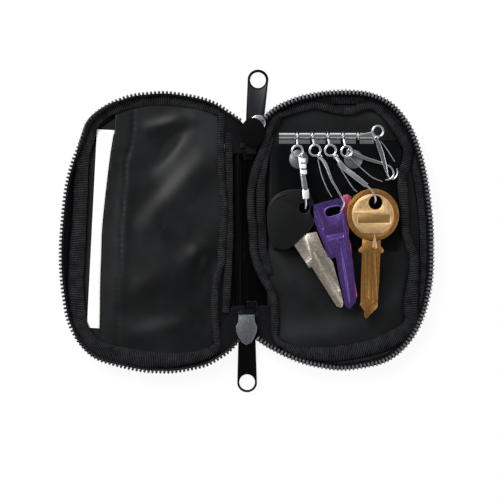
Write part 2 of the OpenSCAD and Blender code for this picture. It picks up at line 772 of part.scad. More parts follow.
spineOuterPanel();  // spine_outer_panel
spineBoard();  // spine_board
spineLining();  // spine_lining
crossSeamBindings();  // cross_seam_bindings
spineFoldBinding();  // spine_fold_binding
zipEnds();  // zip_ends
zipEndCover();  // zip_end_cover
zipRun(-1);  // left_zip_run
zipRun(1);  // right_zip_run
outerPanel(-1);  // left_outer_panel
foamSheet(-1);  // left_foam
liningSheet(-1);  // left_lining
zipTape(-1);  // left_zip_tape
zipTeeth(-1);  // left_zip_teeth
leftBinding();  // left_binding
pocketPanel();  // pocket_panel
card();
outerPanel(1);  // right_outer_panel
foamSheet(1);  // right_foam
liningSheet(1);  // right_lining
zipTape(1);  // right_zip_tape
zipTeeth(1);  // right_zip_teeth
rightBinding();  // right_binding
keyPatch();  // key_patch
keyBar();  // key_bar
barRod();  // bar_rod
rivets();
rivetWashers();  // rivet_washers
atTop() slider("#8B8F94");  // top_slider
atBottom() slider("#6A6F74");  // bottom_slider
color("#2E3033") atTop() pullTab();  // top_pull_tab
color("#161718") atBottom() pullTab();  // bottom_pull_tab
link(1);  // link_1
link(2);  // link_2
link(3);  // link_3
link(4);  // link_4
link(5);  // link_5
hook(1);  // hook_1
hook(2);  // hook_2
hook(3);  // hook_3
hook(4);  // hook_4
hook(5);  // hook_5
gate(1);  // gate_1
gate(2);  // gate_2
gate(3);  // gate_3
gate(4);  // gate_4
gate(5);  // gate_5
blackKeyBow();  // black_key_bow
blackKeyBlade();  // black_key_blade
purpleKey();  // purple_key
pinkKey();  // pink_key
brassKey();  // brass_key
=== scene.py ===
import math
import bpy
import bmesh
import numpy as np
from mathutils import Matrix, Vector
from mathutils.kdtree import KDTree


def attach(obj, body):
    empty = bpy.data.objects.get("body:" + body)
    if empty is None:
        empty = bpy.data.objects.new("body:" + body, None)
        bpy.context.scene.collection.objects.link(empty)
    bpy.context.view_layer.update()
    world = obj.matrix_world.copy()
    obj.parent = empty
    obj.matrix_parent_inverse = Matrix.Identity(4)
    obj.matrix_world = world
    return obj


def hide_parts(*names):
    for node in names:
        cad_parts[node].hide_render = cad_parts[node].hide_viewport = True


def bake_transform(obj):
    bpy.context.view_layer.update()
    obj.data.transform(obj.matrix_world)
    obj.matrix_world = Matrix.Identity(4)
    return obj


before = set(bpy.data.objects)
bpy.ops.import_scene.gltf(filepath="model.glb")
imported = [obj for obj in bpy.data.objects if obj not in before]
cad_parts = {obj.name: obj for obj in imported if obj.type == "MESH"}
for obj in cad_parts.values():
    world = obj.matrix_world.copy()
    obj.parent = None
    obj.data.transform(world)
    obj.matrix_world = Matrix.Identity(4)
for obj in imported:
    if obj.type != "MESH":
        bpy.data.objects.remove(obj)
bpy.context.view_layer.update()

mm = 0.001
pxPerMm = 2.34  # the picture's scale over the case
caseMiddle = (250.0, 231.7)  # where the middle of the spine lies in the picture


def spot(points):
    return [((x - caseMiddle[0]) / pxPerMm, (caseMiddle[1] - y) / pxPerMm) for x, y in points]


def linear(hexValue):
    values = [int(hexValue[i:i + 2], 16) / 255 for i in (1, 3, 5)]
    return tuple(v / 12.92 if v <= 0.04045 else ((v + 0.055) / 1.055) ** 2.4 for v in values) + (1.0,)


def deselectAll():
    for other in bpy.context.selected_objects:
        other.select_set(False)


def makeActive(piece):
    deselectAll()
    piece.select_set(True)
    bpy.context.view_layer.objects.active = piece


def settle(piece, name, material=None, smooth=None):
    # puts the place into the mesh and names the piece
    makeActive(piece)
    bpy.ops.object.transform_apply(location=True, rotation=True, scale=True)
    piece.name = name
    piece.data.name = name
    if material:
        piece.data.materials.clear()
        piece.data.materials.append(material)
    if smooth is not None:
        bpy.ops.object.shade_smooth_by_angle(angle=math.radians(smooth))
    return piece


def editAll(piece):
    # edit mode with the whole mesh selected
    makeActive(piece)
    bpy.ops.object.mode_set(mode="EDIT")
    bpy.ops.mesh.select_all(action="SELECT")


def joined(pieces, name):
    deselectAll()
    for piece in pieces:
        piece.select_set(True)
    bpy.context.view_layer.objects.active = pieces[0]
    if len(pieces) > 1:
        bpy.ops.object.join()
    pieces[0].name = name
    pieces[0].data.name = name
    return pieces[0]


def finishWith(piece, kind, **settings):
    makeActive(piece)
    modifier = piece.modifiers.new(kind.lower(), kind)
    for key, value in settings.items():
        setattr(modifier, key, value)
    bpy.ops.object.modifier_apply(modifier=modifier.name)
    return piece


def addNode(tree, kind, inputs=None, **settings):
    # an input is a plain value, or (node, output) to link from
    node = tree.nodes.new("ShaderNode" + kind)
    for key, value in settings.items():
        setattr(node, key, value)
    for key, value in (inputs or {}).items():
        if isinstance(value, tuple) and hasattr(value[0], "outputs"):
            tree.links.new(value[0].outputs[value[1]], node.inputs[key])
        else:
            node.inputs[key].default_value = value
    return node


def startMaterial(name, colour, inputs):
    material = bpy.data.materials.new(name)
    material.use_nodes = True
    shader = material.node_tree.nodes["Principled BSDF"]
    shader.inputs["Base Color"].default_value = linear(colour)
    for key, value in inputs.items():
        shader.inputs[key].default_value = value
    return material, material.node_tree, shader


def threadScale(pitch):
    # one band of the wave texture for each thread, pitch in metres
    return math.pi / (10 * pitch)


def dress(tree, shader, share, dark, light, height, strength, depth):
    # ends a material: share blends two colours, height gives the relief, depth in mm
    colour = addNode(tree, "Mix", {"Factor": share, "A": dark, "B": light}, data_type="RGBA")
    tree.links.new(colour.outputs["Result"], shader.inputs["Base Color"])
    relief = addNode(tree, "Bump", {"Height": height, "Strength": strength, "Distance": depth * mm})
    tree.links.new(relief.outputs["Normal"], shader.inputs["Normal"])


def wovenCloth(name, dark, light, pitch, roughness, depth, patch=9):
    # plain weave: two crossed rows of threads, with cloudy worn patches
    material, tree, shader = startMaterial(name, dark, {"Roughness": roughness, "Specular IOR Level": 0.07})
    place = addNode(tree, "TexCoord")
    threads = {"Vector": (place, "Object"), "Scale": threadScale(pitch * mm)}
    weft = addNode(tree, "TexWave", threads, bands_direction="X")
    warp = addNode(tree, "TexWave", threads, bands_direction="Y")
    weave = addNode(tree, "Math", {0: (weft, "Fac"), 1: (warp, "Fac")}, operation="MULTIPLY")
    cloud = addNode(tree, "TexNoise", {"Vector": (place, "Object"), "Scale": 1 / (patch * mm), "Detail": 3.0})
    both = addNode(tree, "Math", {0: (cloud, "Fac"), 1: (weave, 0), 2: 0.1}, operation="MULTIPLY_ADD")
    worn = addNode(tree, "MapRange", {"Value": (both, 0), "From Min": 0.15, "From Max": 0.75})
    dress(tree, shader, (worn, "Result"), linear(dark), linear(light), (weave, 0), 0.6, depth)
    return material


def ribbedTape(name, dark, light, pitch):
    # grosgrain: cords across the tape, their pitch in mm read along the tape's own UV map
    material, tree, shader = startMaterial(name, dark, {"Roughness": 0.6, "Specular IOR Level": 0.08,
                                                        "Sheen Weight": 0.01})
    along = addNode(tree, "UVMap", uv_map="along")
    cords = addNode(tree, "TexWave", {"Vector": (along, "UV"), "Scale": threadScale(pitch),
                                      "Distortion": 0.35, "Detail": 1.0})
    place = addNode(tree, "TexCoord")
    cloud = addNode(tree, "TexNoise", {"Vector": (place, "Object"), "Scale": 1 / (4 * mm), "Detail": 3.0})
    grain = addNode(tree, "TexNoise", {"Vector": (place, "Object"), "Scale": 1 / (0.5 * mm), "Detail": 2.0})
    # colour follows the cords: painted highlight on the crowns, painted shade in the grooves, mottled by random cloud
    # and grain
    ribLightShadeMottle = addNode(tree, "Math", {0: (cords, "Fac"), 1: (cloud, "Fac")}, operation="MULTIPLY")
    worn = addNode(tree, "Math", {0: (ribLightShadeMottle, 0), 1: (grain, "Fac"), 2: 0.03}, operation="MULTIPLY_ADD")
    shade = addNode(tree, "MapRange", {"Value": (worn, 0), "From Min": 0.08, "From Max": 0.36})
    dress(tree, shader, (shade, "Result"), linear(dark), linear(light), (cords, "Fac"), 1.0, 0.25)
    return material


dustColour = "#2A2D30"


def satinCloth(name, dark, light, gloss):
    # satin weave: fine slanted twill, a broad soft gloss that runs along the folds
    material, tree, shader = startMaterial(name, dark, {"Specular IOR Level": gloss, "Anisotropic": 0.3})
    place = addNode(tree, "TexCoord")
    twill = addNode(tree, "TexWave", {"Vector": (place, "Object"), "Scale": threadScale(0.5 * mm)},
                    bands_direction="DIAGONAL")
    cloud = addNode(tree, "TexNoise", {"Vector": (place, "Object"), "Scale": 1 / (16 * mm), "Detail": 3.0})
    dust = addNode(tree, "TexNoise", {"Vector": (place, "Object"), "Scale": 1 / (0.9 * mm), "Detail": 4.0})
    shade = addNode(tree, "MapRange", {"Value": (cloud, "Fac"), "From Min": 0.35, "From Max": 0.7})
    colour = addNode(tree, "Mix", {"Factor": (shade, "Result"), "A": linear(dark), "B": linear(light)}, data_type="RGBA")
    speck = addNode(tree, "MapRange", {"Value": (dust, "Fac"), "From Min": 0.66, "From Max": 0.8, "To Max": 0.25})
    rough = addNode(tree, "MapRange", {"Value": (cloud, "Fac"), "From Min": 0.3, "From Max": 0.7,
                                       "To Min": 0.32, "To Max": 0.42})
    tree.links.new(rough.outputs["Result"], shader.inputs["Roughness"])
    dress(tree, shader, (speck, "Result"), (colour, "Result"), linear(dustColour), (twill, "Fac"), 0.07, 0.05)
    return material


def bareMetal(name, colour, worn, roughness, grain, depth, stretch=(1, 1, 1)):
    # faint grain in the colour and the gloss; stretch draws it out along a milled or brushed length
    material, tree, shader = startMaterial(name, colour, {"Roughness": roughness, "Metallic": 1.0})
    place = addNode(tree, "TexCoord")
    turn = addNode(tree, "Mapping", {"Vector": (place, "Object"), "Scale": stretch})
    noise = addNode(tree, "TexNoise", {"Vector": (turn, "Vector"), "Scale": 1 / (grain * mm), "Detail": 3.0})
    shade = addNode(tree, "MapRange", {"Value": (noise, "Fac"), "From Min": 0.3, "From Max": 0.7})
    rough = addNode(tree, "MapRange", {"Value": (noise, "Fac"), "From Min": 0.3, "From Max": 0.7,
                                       "To Min": roughness * 0.85, "To Max": roughness * 1.2})
    tree.links.new(rough.outputs["Result"], shader.inputs["Roughness"])
    dress(tree, shader, (shade, "Result"), linear(worn), linear(colour), (noise, "Fac"), 0.25, depth)
    return material


def moulded(name, dark, light, roughness, grain, depth, inputs):
    # plastic, enamel or board: a fine grain in colour and relief
    material, tree, shader = startMaterial(name, dark, {"Roughness": roughness, **inputs})
    place = addNode(tree, "TexCoord")
    noise = addNode(tree, "TexNoise", {"Vector": (place, "Object"), "Scale": 1 / (grain * mm), "Detail": 3.0})
    shade = addNode(tree, "MapRange", {"Value": (noise, "Fac"), "From Min": 0.35, "From Max": 0.7})
    dress(tree, shader, (shade, "Result"), linear(dark), linear(light), (noise, "Fac"), 0.3, depth)
    return material


# nylon yarn woven plain and dyed black: a dull even black that shows its threads only close by
outerNylon = wovenCloth("outer nylon, plain woven", "#0C0D0F", "#191B1D", 0.5, 0.6, 0.08)
# zip tape of polyester, woven dense: matt black with a slight nap
tapeWeave = wovenCloth("zip tape polyester, woven", "#0B0B0D", "#1B1C20", 0.7, 0.7, 0.1, 6)
# grosgrain, woven with thick cords across (0.6 mm, drawn 0.75 mm to show): pale crowns as a painted highlight, dark
# grooves as painted shade
bindingRibs = ribbedTape("binding grosgrain, woven", "#040405", "#3A3B3E", 0.75)
# lining of polyester filament in satin weave: long floats give broad soft lights on each fold
liningSatin = satinCloth("lining satin, woven", "#010203", "#080B0E", 0.36)
# the pocket's satin comes from the same roll: black, with the same lights on its folds
pocketSatin = satinCloth("pocket satin, woven", "#010203", "#080B0E", 0.36)
# patch satin of a cheaper, duller weave: its long floats are few, so it takes no broad light
patchSatin = satinCloth("patch satin, woven", "#010203", "#060709", 0.1)
# the spine lining: the lining satin darkened, painted shade for the valley between the covers; its gloss set low
spineSatinPaintedShade = satinCloth("spine satin, darkened as painted shade", "#010101", "#020304", 0.04)
# thin nylon cut for the zip's end: nearly black
coverCloth = wovenCloth("zip end cover nylon, woven", "#010102", "#050506", 0.5, 0.75, 0.06)
# spun polyester thread: each stitch a little paler than its cloth
stitchThread = wovenCloth("sewing thread, spun polyester", "#1C1E21", "#3C3F43", 0.3, 0.6, 0.03, 2)
# coil nylon, extruded and pressed: smooth, with a small light on each tooth
coilNylon = moulded("zip coil nylon, extruded", "#0B0B0C", "#262627", 0.32, 2.5, 0.01, {"Specular IOR Level": 0.6})
# the right chain's teeth: the same nylon made grey all over, a painted highlight for the light on their leaning crowns
coilPaintedHighlight = moulded("zip coil nylon, painted highlight", "#3A3B3D", "#6C6D70", 0.4, 1.2, 0.02, {"Specular IOR Level": 0.6})
# zinc alloy, die cast: its grey is a painted reflection, light on a dark satin finish, speckled paler in random spots
zincGreyPaintedReflection = bareMetal("zinc alloy, grey painted reflection", "#8D9296", "#565B60", 0.42, 0.45, 0.04)
# the top slider: the same zinc made pale, a painted reflection for the bright crescents on its plates
zincPaintedGlint = bareMetal("zinc alloy, pale painted reflection", "#D5D8DB", "#BCC0C3", 0.24, 0.6, 0.01)
# enamel sprayed on zinc and baked: deep black with a sharp gloss
blackEnamel = moulded("black enamel on zinc, baked", "#010102", "#040405", 0.2, 1.2, 0.004,
                      {"Specular IOR Level": 0.2})
# the top tab's face: the bottom tab's black enamel made dark grey, painted light; soft gloss
enamelPaintedLighter = moulded("satin black enamel on zinc, painted lighter", "#14161A", "#1C1F23", 0.38, 0.8, 0.006,
                     {"Specular IOR Level": 0.3})
# steel tube, bright nickel plated: near mirror
chrome = bareMetal("steel, bright nickel plated", "#E9EBEC", "#DDDFE1", 0.1, 1.5, 0.003)
# spring steel, nickel plated and tumbled: bright, slightly milky
hookSteel = bareMetal("spring steel, nickel plated", "#DDDFE2", "#CBCED1", 0.17, 0.8, 0.006)
# the same steel where it is folded flat: a paler copy, painted light that makes it bright from edge to edge
wrapSteelPaintedBright = bareMetal("spring steel, folded, painted brighter", "#F4F5F6", "#EAEBEC", 0.3, 0.8, 0.003)
# rivets of brass with matt nickel: soft grey without sharp lights
rivetNickel = bareMetal("rivet brass, matt nickel plated", "#7E8183", "#6C6F71", 0.5, 0.35, 0.02)
# key brass, stamped and milled, then handled: warm, faint scratches along its length
brassMilled = bareMetal("brass, stamped and milled", "#DFBE8E", "#D2AE7C", 0.46, 0.35, 0.01, (1, 0.35, 1))
# rim and blade: a browner, duller brass than the face
brassBrowner = bareMetal("brass, milled, browner", "#A87C46", "#946A38", 0.4, 0.35, 0.01, (1, 0.35, 1))
# the brass left in the stamped hollow is dull and darker
brassDull = bareMetal("brass, stamped hollow", "#A08050", "#8E6E40", 0.5, 0.4, 0.02)
# aluminium blank, stamped, brushed and anodised purple: the dye tints a satin metal face
purpleAnodised = bareMetal("aluminium, anodised purple", "#765AA6", "#684C96", 0.32, 0.35, 0.01, (1, 0.35, 1))
# the same purple a shade paler and duller: on the band where a printed band wore off; on the hole's rim and the blade's
# ridge a painted highlight
purpleWornAndHighlight = bareMetal("aluminium, anodised purple, worn band and painted highlight", "#7D62AC", "#6B4F9C", 0.4, 0.5, 0.01)
# aluminium anodised and dyed pink: bright, with a satin light along its edges
pinkAnodised = bareMetal("aluminium, anodised pink", "#F07C9E", "#DC5C84", 0.34, 0.6, 0.01)
# key brass, nickel plated and milled: warm grey, scratched along the blade
bladeNickel = bareMetal("key brass, nickel plated and milled", "#D2C8BA", "#B8AE9F", 0.34, 0.4, 0.012, (0.3, 1, 1))
# ABS, moulded against a spark-eroded face: matt, near black
bowPlastic = moulded("ABS, moulded with a fine spark texture", "#050607", "#0B0C0E", 0.42, 0.3, 0.02,
                     {"Specular IOR Level": 0.22})
# bleached board: matt white, faint fibres
cardBoard = moulded("card, bleached board", "#F1F1EF", "#FAFAF9", 0.55, 0.5, 0.004, {"Specular IOR Level": 0.3})
# grey board, pressed from waste paper: dull, flecked
greyBoard = moulded("grey board, pressed", "#7C756A", "#978F84", 0.8, 0.8, 0.02, {"Specular IOR Level": 0.2})
print("materials made")


def smoothPath(points, spacing):
    # even stations, in mm, along a smooth curve through given points
    p = [np.array(q, float) for q in points]
    p = [2 * p[0] - p[1]] + p + [2 * p[-1] - p[-2]]
    fine = []
    for i in range(1, len(p) - 2):
        for t in np.linspace(0, 1, 24, endpoint=False):
            a, b, c, d = p[i - 1:i + 3]
            fine.append(0.5 * (2 * b + (c - a) * t + (2 * a - 5 * b + 4 * c - d) * t * t
                               + (3 * b - a - 3 * c + d) * t ** 3))
    fine.append(p[-2])
    fine = np.array(fine)
    run = np.concatenate([[0], np.cumsum(np.linalg.norm(np.diff(fine, axis=0), axis=1))])
    count = max(2, int(round(run[-1] / spacing)) + 1)
    at = np.linspace(0, run[-1], count)
    return np.stack([np.interp(at, run, fine[:, k]) for k in range(fine.shape[1])], 1)


def turns(count):
    # even angles round a full turn
    return np.linspace(0, 2 * math.pi, count, endpoint=False)


def squared(value, power):
    # a power below 1 draws the sine or cosine of a ring towards a box
    return math.copysign(abs(value) ** power, value)


def spread(values, share):
    # listed values, set evenly along a line and read at each share of its length
    return np.interp(share, np.linspace(0, 1, len(values)), values)


def sideways(path):
    # unit vectors to the right of a flat path
    along = np.gradient(path[:, :2], axis=0)
    along /= np.linalg.norm(along, axis=1)[:, None]
    return np.stack([along[:, 1], -along[:, 0]], 1)


def outward(path, middle):
    # unit normals of a flat path, pointing away from the middle
    side = sideways(path)
    return -side if np.sum(side * (path[:, :2] - np.array(middle))) < 0 else side


def meshPiece(name, vertices, faces, material, uv=None, smooth=180):
    # vertices in mm; faces made to look outwards
    mesh = bpy.data.meshes.new(name)
    mesh.from_pydata([tuple(c * mm for c in v) for v in vertices], [], faces)
    piece = bpy.data.objects.new(name, mesh)
    bpy.context.scene.collection.objects.link(piece)
    if uv is not None:
        layer = mesh.uv_layers.new(name="along")
        for loop in mesh.loops:
            layer.data[loop.index].uv = uv[loop.vertex_index]
    built = bmesh.new()
    built.from_mesh(mesh)
    bmesh.ops.recalc_face_normals(built, faces=built.faces)
    built.to_mesh(mesh)
    built.free()
    mesh.materials.append(material)
    makeActive(piece)
    bpy.ops.object.shade_smooth_by_angle(angle=math.radians(smooth))
    return piece


ringStep = 0.8  # mm round a swept ring in its UV map


def sweep(name, sections, material, stationGap, smooth=60):
    # sections are closed rings of the same number of points; the UV map holds mm along and mm round
    rings, count = len(sections), len(sections[0])
    vertices = [v for ring in sections for v in ring]
    uv = [(k * stationGap, j * ringStep) for k in range(rings) for j in range(count)]
    faces = []
    for k in range(rings - 1):
        for j in range(count):
            a, b = k * count + j, k * count + (j + 1) % count
            faces.append((a, b, b + count, a + count))
    faces.append(tuple(range(count))[::-1])
    faces.append(tuple((rings - 1) * count + j for j in range(count)))
    return meshPiece(name, vertices, faces, material, uv, smooth)


def profileSweep(name, path, side, profile, material, spacing):
    # profile(k) gives the ring at station k as a list of (out, z) in mm
    sections = [[(p[0] + o * s[0], p[1] + o * s[1], z) for o, z in profile(k)]
                for k, (p, s) in enumerate(zip(path, side))]
    return sweep(name, sections, material, spacing)


def ripple(x, seed):
    # a slow wave that never repeats within the case
    long, middling = math.sin(x * 0.11 + seed), 0.6 * math.sin(x * 0.27 + 2.1 * seed)
    return (long + middling + 0.4 * math.sin(x * 0.61 + 3.7 * seed)) / 2


# the middle line of each zip chain, from the spine's upper end round the cover to its lower end
teethLines = {
    "left": spot([(240.5, 119.8), (229, 112), (216.5, 104), (198, 97.6), (168, 93), (146, 94), (129.5, 96.6),
                  (111, 104), (96, 114), (87, 124.4), (83.3, 135.5), (77.7, 150), (72, 165), (66.6, 187), (63, 217),
                  (61, 246.5), (61.5, 274), (64, 296), (67.6, 317), (74, 333), (83, 346), (96, 357.5), (115, 364.5),
                  (143, 370.6), (163, 371.8), (175.5, 371.5), (191, 369), (207, 365), (220, 358), (230, 351),
                  (239, 341)]),
    "right": spot([(261, 118), (268.5, 111.4), (279, 104.5), (299, 96.6), (325, 91.6), (348.6, 90.6), (368, 92.6),
                   (386, 99.5), (400, 111.4), (412, 129), (420, 149), (426, 173), (430, 198), (432.7, 228),
                   (433.2, 258), (431.7, 283), (425.7, 311), (416, 333), (402, 350.6), (384, 362.5), (358.5, 368.4),
                   (337, 370), (309, 365.4), (289, 358.5), (269.5, 348.7), (256.5, 340.5)]),
}
coverMiddles = {"left": (-42, -2), "right": (40, 0)}
foldLine = 7.15  # mm from the case's middle to the line on which a cover folds


def seamLine(side, inset, spacing):
    # the floor's seam lies under and inside the teeth; it never crosses the fold line
    teeth = smoothPath(teethLines[side], spacing)
    line = teeth - outward(teeth, coverMiddles[side]) * inset
    line[:, 0] = np.minimum(line[:, 0], -foldLine) if side == "left" else np.maximum(line[:, 0], foldLine)
    return line


rimStep = 0.25  # mm between the places to which a sheet's rim is drawn


def filled(name, outline, spacing, heights, material):
    # a sheet of even squares cut to an outline; heights(x, y) gives z in mm
    outline = np.array(outline)
    low, high = outline.min(0), outline.max(0)
    columns = int((high[0] - low[0]) / spacing) + 2
    rows = int((high[1] - low[1]) / spacing) + 2
    xs = low[0] + np.arange(columns + 1) * spacing
    ys = low[1] + np.arange(rows + 1) * spacing

    def inside(points):
        hit = np.zeros(len(points), bool)
        for (x0, y0), (x1, y1) in zip(outline, np.roll(outline, -1, 0)):
            crossing = (y0 > points[:, 1]) != (y1 > points[:, 1])
            with np.errstate(divide="ignore", invalid="ignore"):
                at = (x1 - x0) * (points[:, 1] - y0) / (y1 - y0) + x0
            hit ^= crossing & (points[:, 0] < at)
        return hit

    centres = np.array([(x + spacing / 2, y + spacing / 2) for y in ys for x in xs])
    keep = inside(centres).reshape(rows + 1, columns + 1)
    index, vertices, faces = {}, [], []
    for r in range(rows):
        for c in range(columns):
            if keep[r, c]:
                corners = []
                for dr, dc in ((0, 0), (0, 1), (1, 1), (1, 0)):
                    key = (r + dr, c + dc)
                    if key not in index:
                        index[key] = len(vertices)
                        vertices.append([xs[key[1]], ys[key[0]]])
                    corners.append(index[key])
                faces.append(tuple(corners))
    uses = {}
    for face in faces:
        for a, b in zip(face, face[1:] + face[:1]):
            uses[frozenset((a, b))] = uses.get(frozenset((a, b)), 0) + 1
    rim = {v for edge, n in uses.items() if n == 1 for v in edge}
    dense = smoothClosed(outline, rimStep)
    for v in rim:
        nearest = np.argmin(np.sum((dense - np.array(vertices[v])) ** 2, 1))
        vertices[v] = list(dense[nearest])
    piece = meshPiece(name, [(x, y, heights(x, y)) for x, y in vertices], faces, material)
    if sum(p.normal.z for p in piece.data.polygons) < 0:
        editAll(piece)
        bpy.ops.mesh.flip_normals()
        bpy.ops.object.mode_set(mode="OBJECT")
    pinned = piece.vertex_groups.new(name="pinned")
    pinned.add(sorted(rim), 1.0, "ADD")
    return piece


def smoothClosed(outline, spacing):
    # even stations, in mm, round a closed outline
    ring = np.vstack([outline, outline[:1]])
    run = np.concatenate([[0], np.cumsum(np.linalg.norm(np.diff(ring, axis=0), axis=1))])
    at = np.arange(0, run[-1], spacing)
    return np.stack([np.interp(at, run, ring[:, k]) for k in (0, 1)], 1)


clothWork = {"scale": 25.0, "frames": 16, "quality": 5, "mass": 0.3, "stiffness": 8.0, "bending": 0.4}


def relax(piece, growth, cap, floor, pressure=0.0):
    # real cloth, simulated large: it grows a little inside its pinned rim and buckles into folds;
    # cap is the most that it may move and floor its lowest height, both in mm
    start = np.array([v.co for v in piece.data.vertices]) / mm
    scale = clothWork["scale"]
    piece.data.transform(Matrix.Scale(scale, 4))
    makeActive(piece)
    cloth = piece.modifiers.new("cloth", "CLOTH")
    cloth.settings.quality = clothWork["quality"]
    cloth.settings.mass = clothWork["mass"]
    cloth.settings.tension_stiffness = clothWork["stiffness"]
    cloth.settings.compression_stiffness = clothWork["stiffness"]
    cloth.settings.bending_stiffness = clothWork["bending"]
    cloth.settings.shrink_min = -growth
    cloth.settings.vertex_group_mass = "pinned"
    cloth.settings.effector_weights.gravity = 0
    if pressure:
        cloth.settings.use_pressure = True
        cloth.settings.uniform_pressure_force = pressure
    cloth.point_cache.frame_start = 1
    cloth.point_cache.frame_end = clothWork["frames"] + 1
    for step in range(1, clothWork["frames"] + 1):
        bpy.context.scene.frame_set(step)
    bpy.ops.object.modifier_apply(modifier=cloth.name)
    piece.data.transform(Matrix.Scale(1 / scale, 4))
    bpy.context.scene.frame_set(1)
    moved = np.array([v.co for v in piece.data.vertices]) / mm - start
    length = np.linalg.norm(moved, axis=1)
    moved *= (cap * np.tanh(length / cap) / np.maximum(length, 1e-9))[:, None]
    end = start + moved
    end[:, 2] = np.maximum(end[:, 2], floor)
    for vertex, place in zip(piece.data.vertices, end):
        vertex.co = Vector(place * mm)
    piece.data.update()


padLook = {"inset": 5.5, "station": 1.0, "outlineStep": 1.2, "squares": 1.5, "level": 1.35, "lowest": 1.2,
           "highest": 1.95, "growth": 0.012, "cap": 0.35, "pressure": 2.0}


def coverPad(side):
    # outer cloth laminated to foam: one soft slab, pressed flat where it lies on the table
    outline = smoothClosed(seamLine(side, padLook["inset"], padLook["station"])[::2], padLook["outlineStep"])
    top = filled(side + "Pad", outline, padLook["squares"], lambda x, y: padLook["level"], outerNylon)
    relax(top, padLook["growth"], padLook["cap"], padLook["lowest"], padLook["pressure"])
    for vertex in top.data.vertices:
        vertex.co.z = min(vertex.co.z, padLook["highest"] * mm)
    editAll(top)
    bpy.ops.mesh.duplicate()
    bpy.ops.transform.resize(value=(1, 1, 0), center_override=(0, 0, 0))
    bpy.ops.mesh.flip_normals()
    bpy.ops.object.mode_set(mode="OBJECT")
    built = bmesh.new()
    built.from_mesh(top.data)
    rims = [edge for edge in built.edges if edge.is_boundary]
    bmesh.ops.bridge_loops(built, edges=rims)
    bmesh.ops.recalc_face_normals(built, faces=built.faces)
    built.to_mesh(top.data)
    built.free()
    makeActive(top)
    bpy.ops.object.shade_smooth_by_angle(angle=math.radians(60))
    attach(top, side + "_cover")
    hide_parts(side + "_outer_panel", side + "_foam")
    return outline


liningFolds = {
    # from, to, height and half width in mm: broad soft folds in the lining and in the pocket
    "left": [((-42.7, 2.9), (-21.4, 28.5), 1.3, 6), ((-20, -7.8), (-25.6, -13), 1.0, 5),
             ((-47, -44), (-25.6, -39.9), 0.9, 5), ((-42.7, 44.3), (-25.6, 47.7), 0.6, 3),
             ((-27.8, 45.6), (-40.6, 28.5), -0.8, 3.5), ((-18, -14), (-20, -40), -0.9, 4),
             ((-52, 30), (-56, -30), 0.35, 3), ((-36, -18), (-48, -26), 0.5, 6)],
    "right": [((17, -48.4), (64, -44), 1.4, 8), ((21.4, -29.2), (15, -10), 0.8, 5),
              ((51.3, -37.7), (64, -16.4), 0.8, 6), ((34.2, 48.6), (55.6, 46.9), 0.25, 4),
              ((40.6, -29), (44, -20), -0.5, 5), ((62, 34), (56, 50), 0.3, 3), ((20, 26), (18, 6), 0.5, 4),
              ((56, -6), (62, 20), -0.2, 4)],
}


def foldHeight(side, x, y):
    # how far the folds of one side lift the cloth at a place, all in mm
    total = 0.0
    for (ax, ay), (bx, by), height, width in liningFolds[side]:
        length2 = (bx - ax) ** 2 + (by - ay) ** 2
        t = min(1, max(0, ((x - ax) * (bx - ax) + (y - ay) * (by - ay)) / length2))
        away = math.hypot(x - ax - t * (bx - ax), y - ay - t * (by - ay))
        total += height * math.exp(-(away / width) ** 2) * (0.6 + 0.4 * math.sin(math.pi * t))
    return total + 0.04 * ripple(x * 1.7 + y * 1.1, 1.3 if side == "left" else 2.2)


# the left lining lies flat under the card; the right one is open and shows its folds
liningLook = {"left": {"lies": 2.25, "folds": False, "growth": 0.002},
              "right": {"lies": 2.3, "folds": True, "growth": 0.006},
              "share": 0.99, "squares": 1.3, "cap": 0.6, "lowest": 2.05}


def liningCloth(side, outline):
    # satin sewn in along the pad's rim, a little smaller than the pad
    look = liningLook[side]
    middle = np.array(coverMiddles[side], float)
    inner = middle + (outline - middle) * liningLook["share"]

    def height(x, y):
        return look["lies"] + (max(0.0, foldHeight(side, x, y)) if look["folds"] else 0.0)

    cloth = filled(side + "Lining", inner, liningLook["squares"], height, liningSatin)
    relax(cloth, look["growth"], liningLook["cap"], liningLook["lowest"])
    finishWith(cloth, "SUBSURF", levels=1, render_levels=1)
    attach(cloth, side + "_cover")
    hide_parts(side + "_lining")


for side in ("left", "right"):
    liningCloth(side, coverPad(side))
print("cover pads and linings made")


# tape: its profile, (out from the seam, z) in mm; cord: how far out the row beside the teeth lies;
# coil: length, width and height of a tooth in mm, stand: its place out from the chain's line, lean: degrees
zipLook = {
    "left": {"tape": [(0.2, 1.15), (1.9, 1.4), (3.4, 1.75), (4.4, 2.7), (4.85, 4.2), (5.0, 5.8), (5.0, 7.2),
                      (4.6, 7.2), (4.6, 5.8), (4.4, 4.4), (3.9, 3.3), (3.0, 2.45), (1.9, 2.1), (0.2, 1.9)],
             "cord": 4.75, "coil": (1.15, 1.5, 2.0), "stand": -0.3, "lean": 4, "teeth": coilNylon},
    # the right chain's grey teeth are a painted highlight
    "right": {"tape": [(0.2, 1.15), (2.0, 1.5), (3.2, 2.1), (4.0, 3.3), (4.4, 4.9), (4.6, 6.3), (5.35, 7.1),
                       (4.9, 7.3), (4.2, 6.5), (3.95, 5.1), (3.5, 3.8), (2.9, 2.8), (2.0, 2.2), (0.2, 1.9)],
              "cord": 4.4, "coil": (1.05, 2.3, 1.7), "stand": -1.05, "lean": 16, "teeth": coilPaintedHighlight},
}
chainLook = {"seam": 5.7, "spacing": 1.2, "pitch": 1.69, "coilLevel": 7.5, "coilEdge": 0.14, "cordLevel": 6.7,
             "cordWide": 0.42, "cordHigh": 0.5}
# where a piece that crosses the fold starts and ends its bend
dipLook = {"deep": 0.9, "from": 3, "over": 13}  # mm from the case's middle line


def zipDip(x):
    # near the spine the zip dips towards its slider
    return dipLook["deep"] * max(0.0, 1 - (abs(x) - dipLook["from"]) / dipLook["over"])


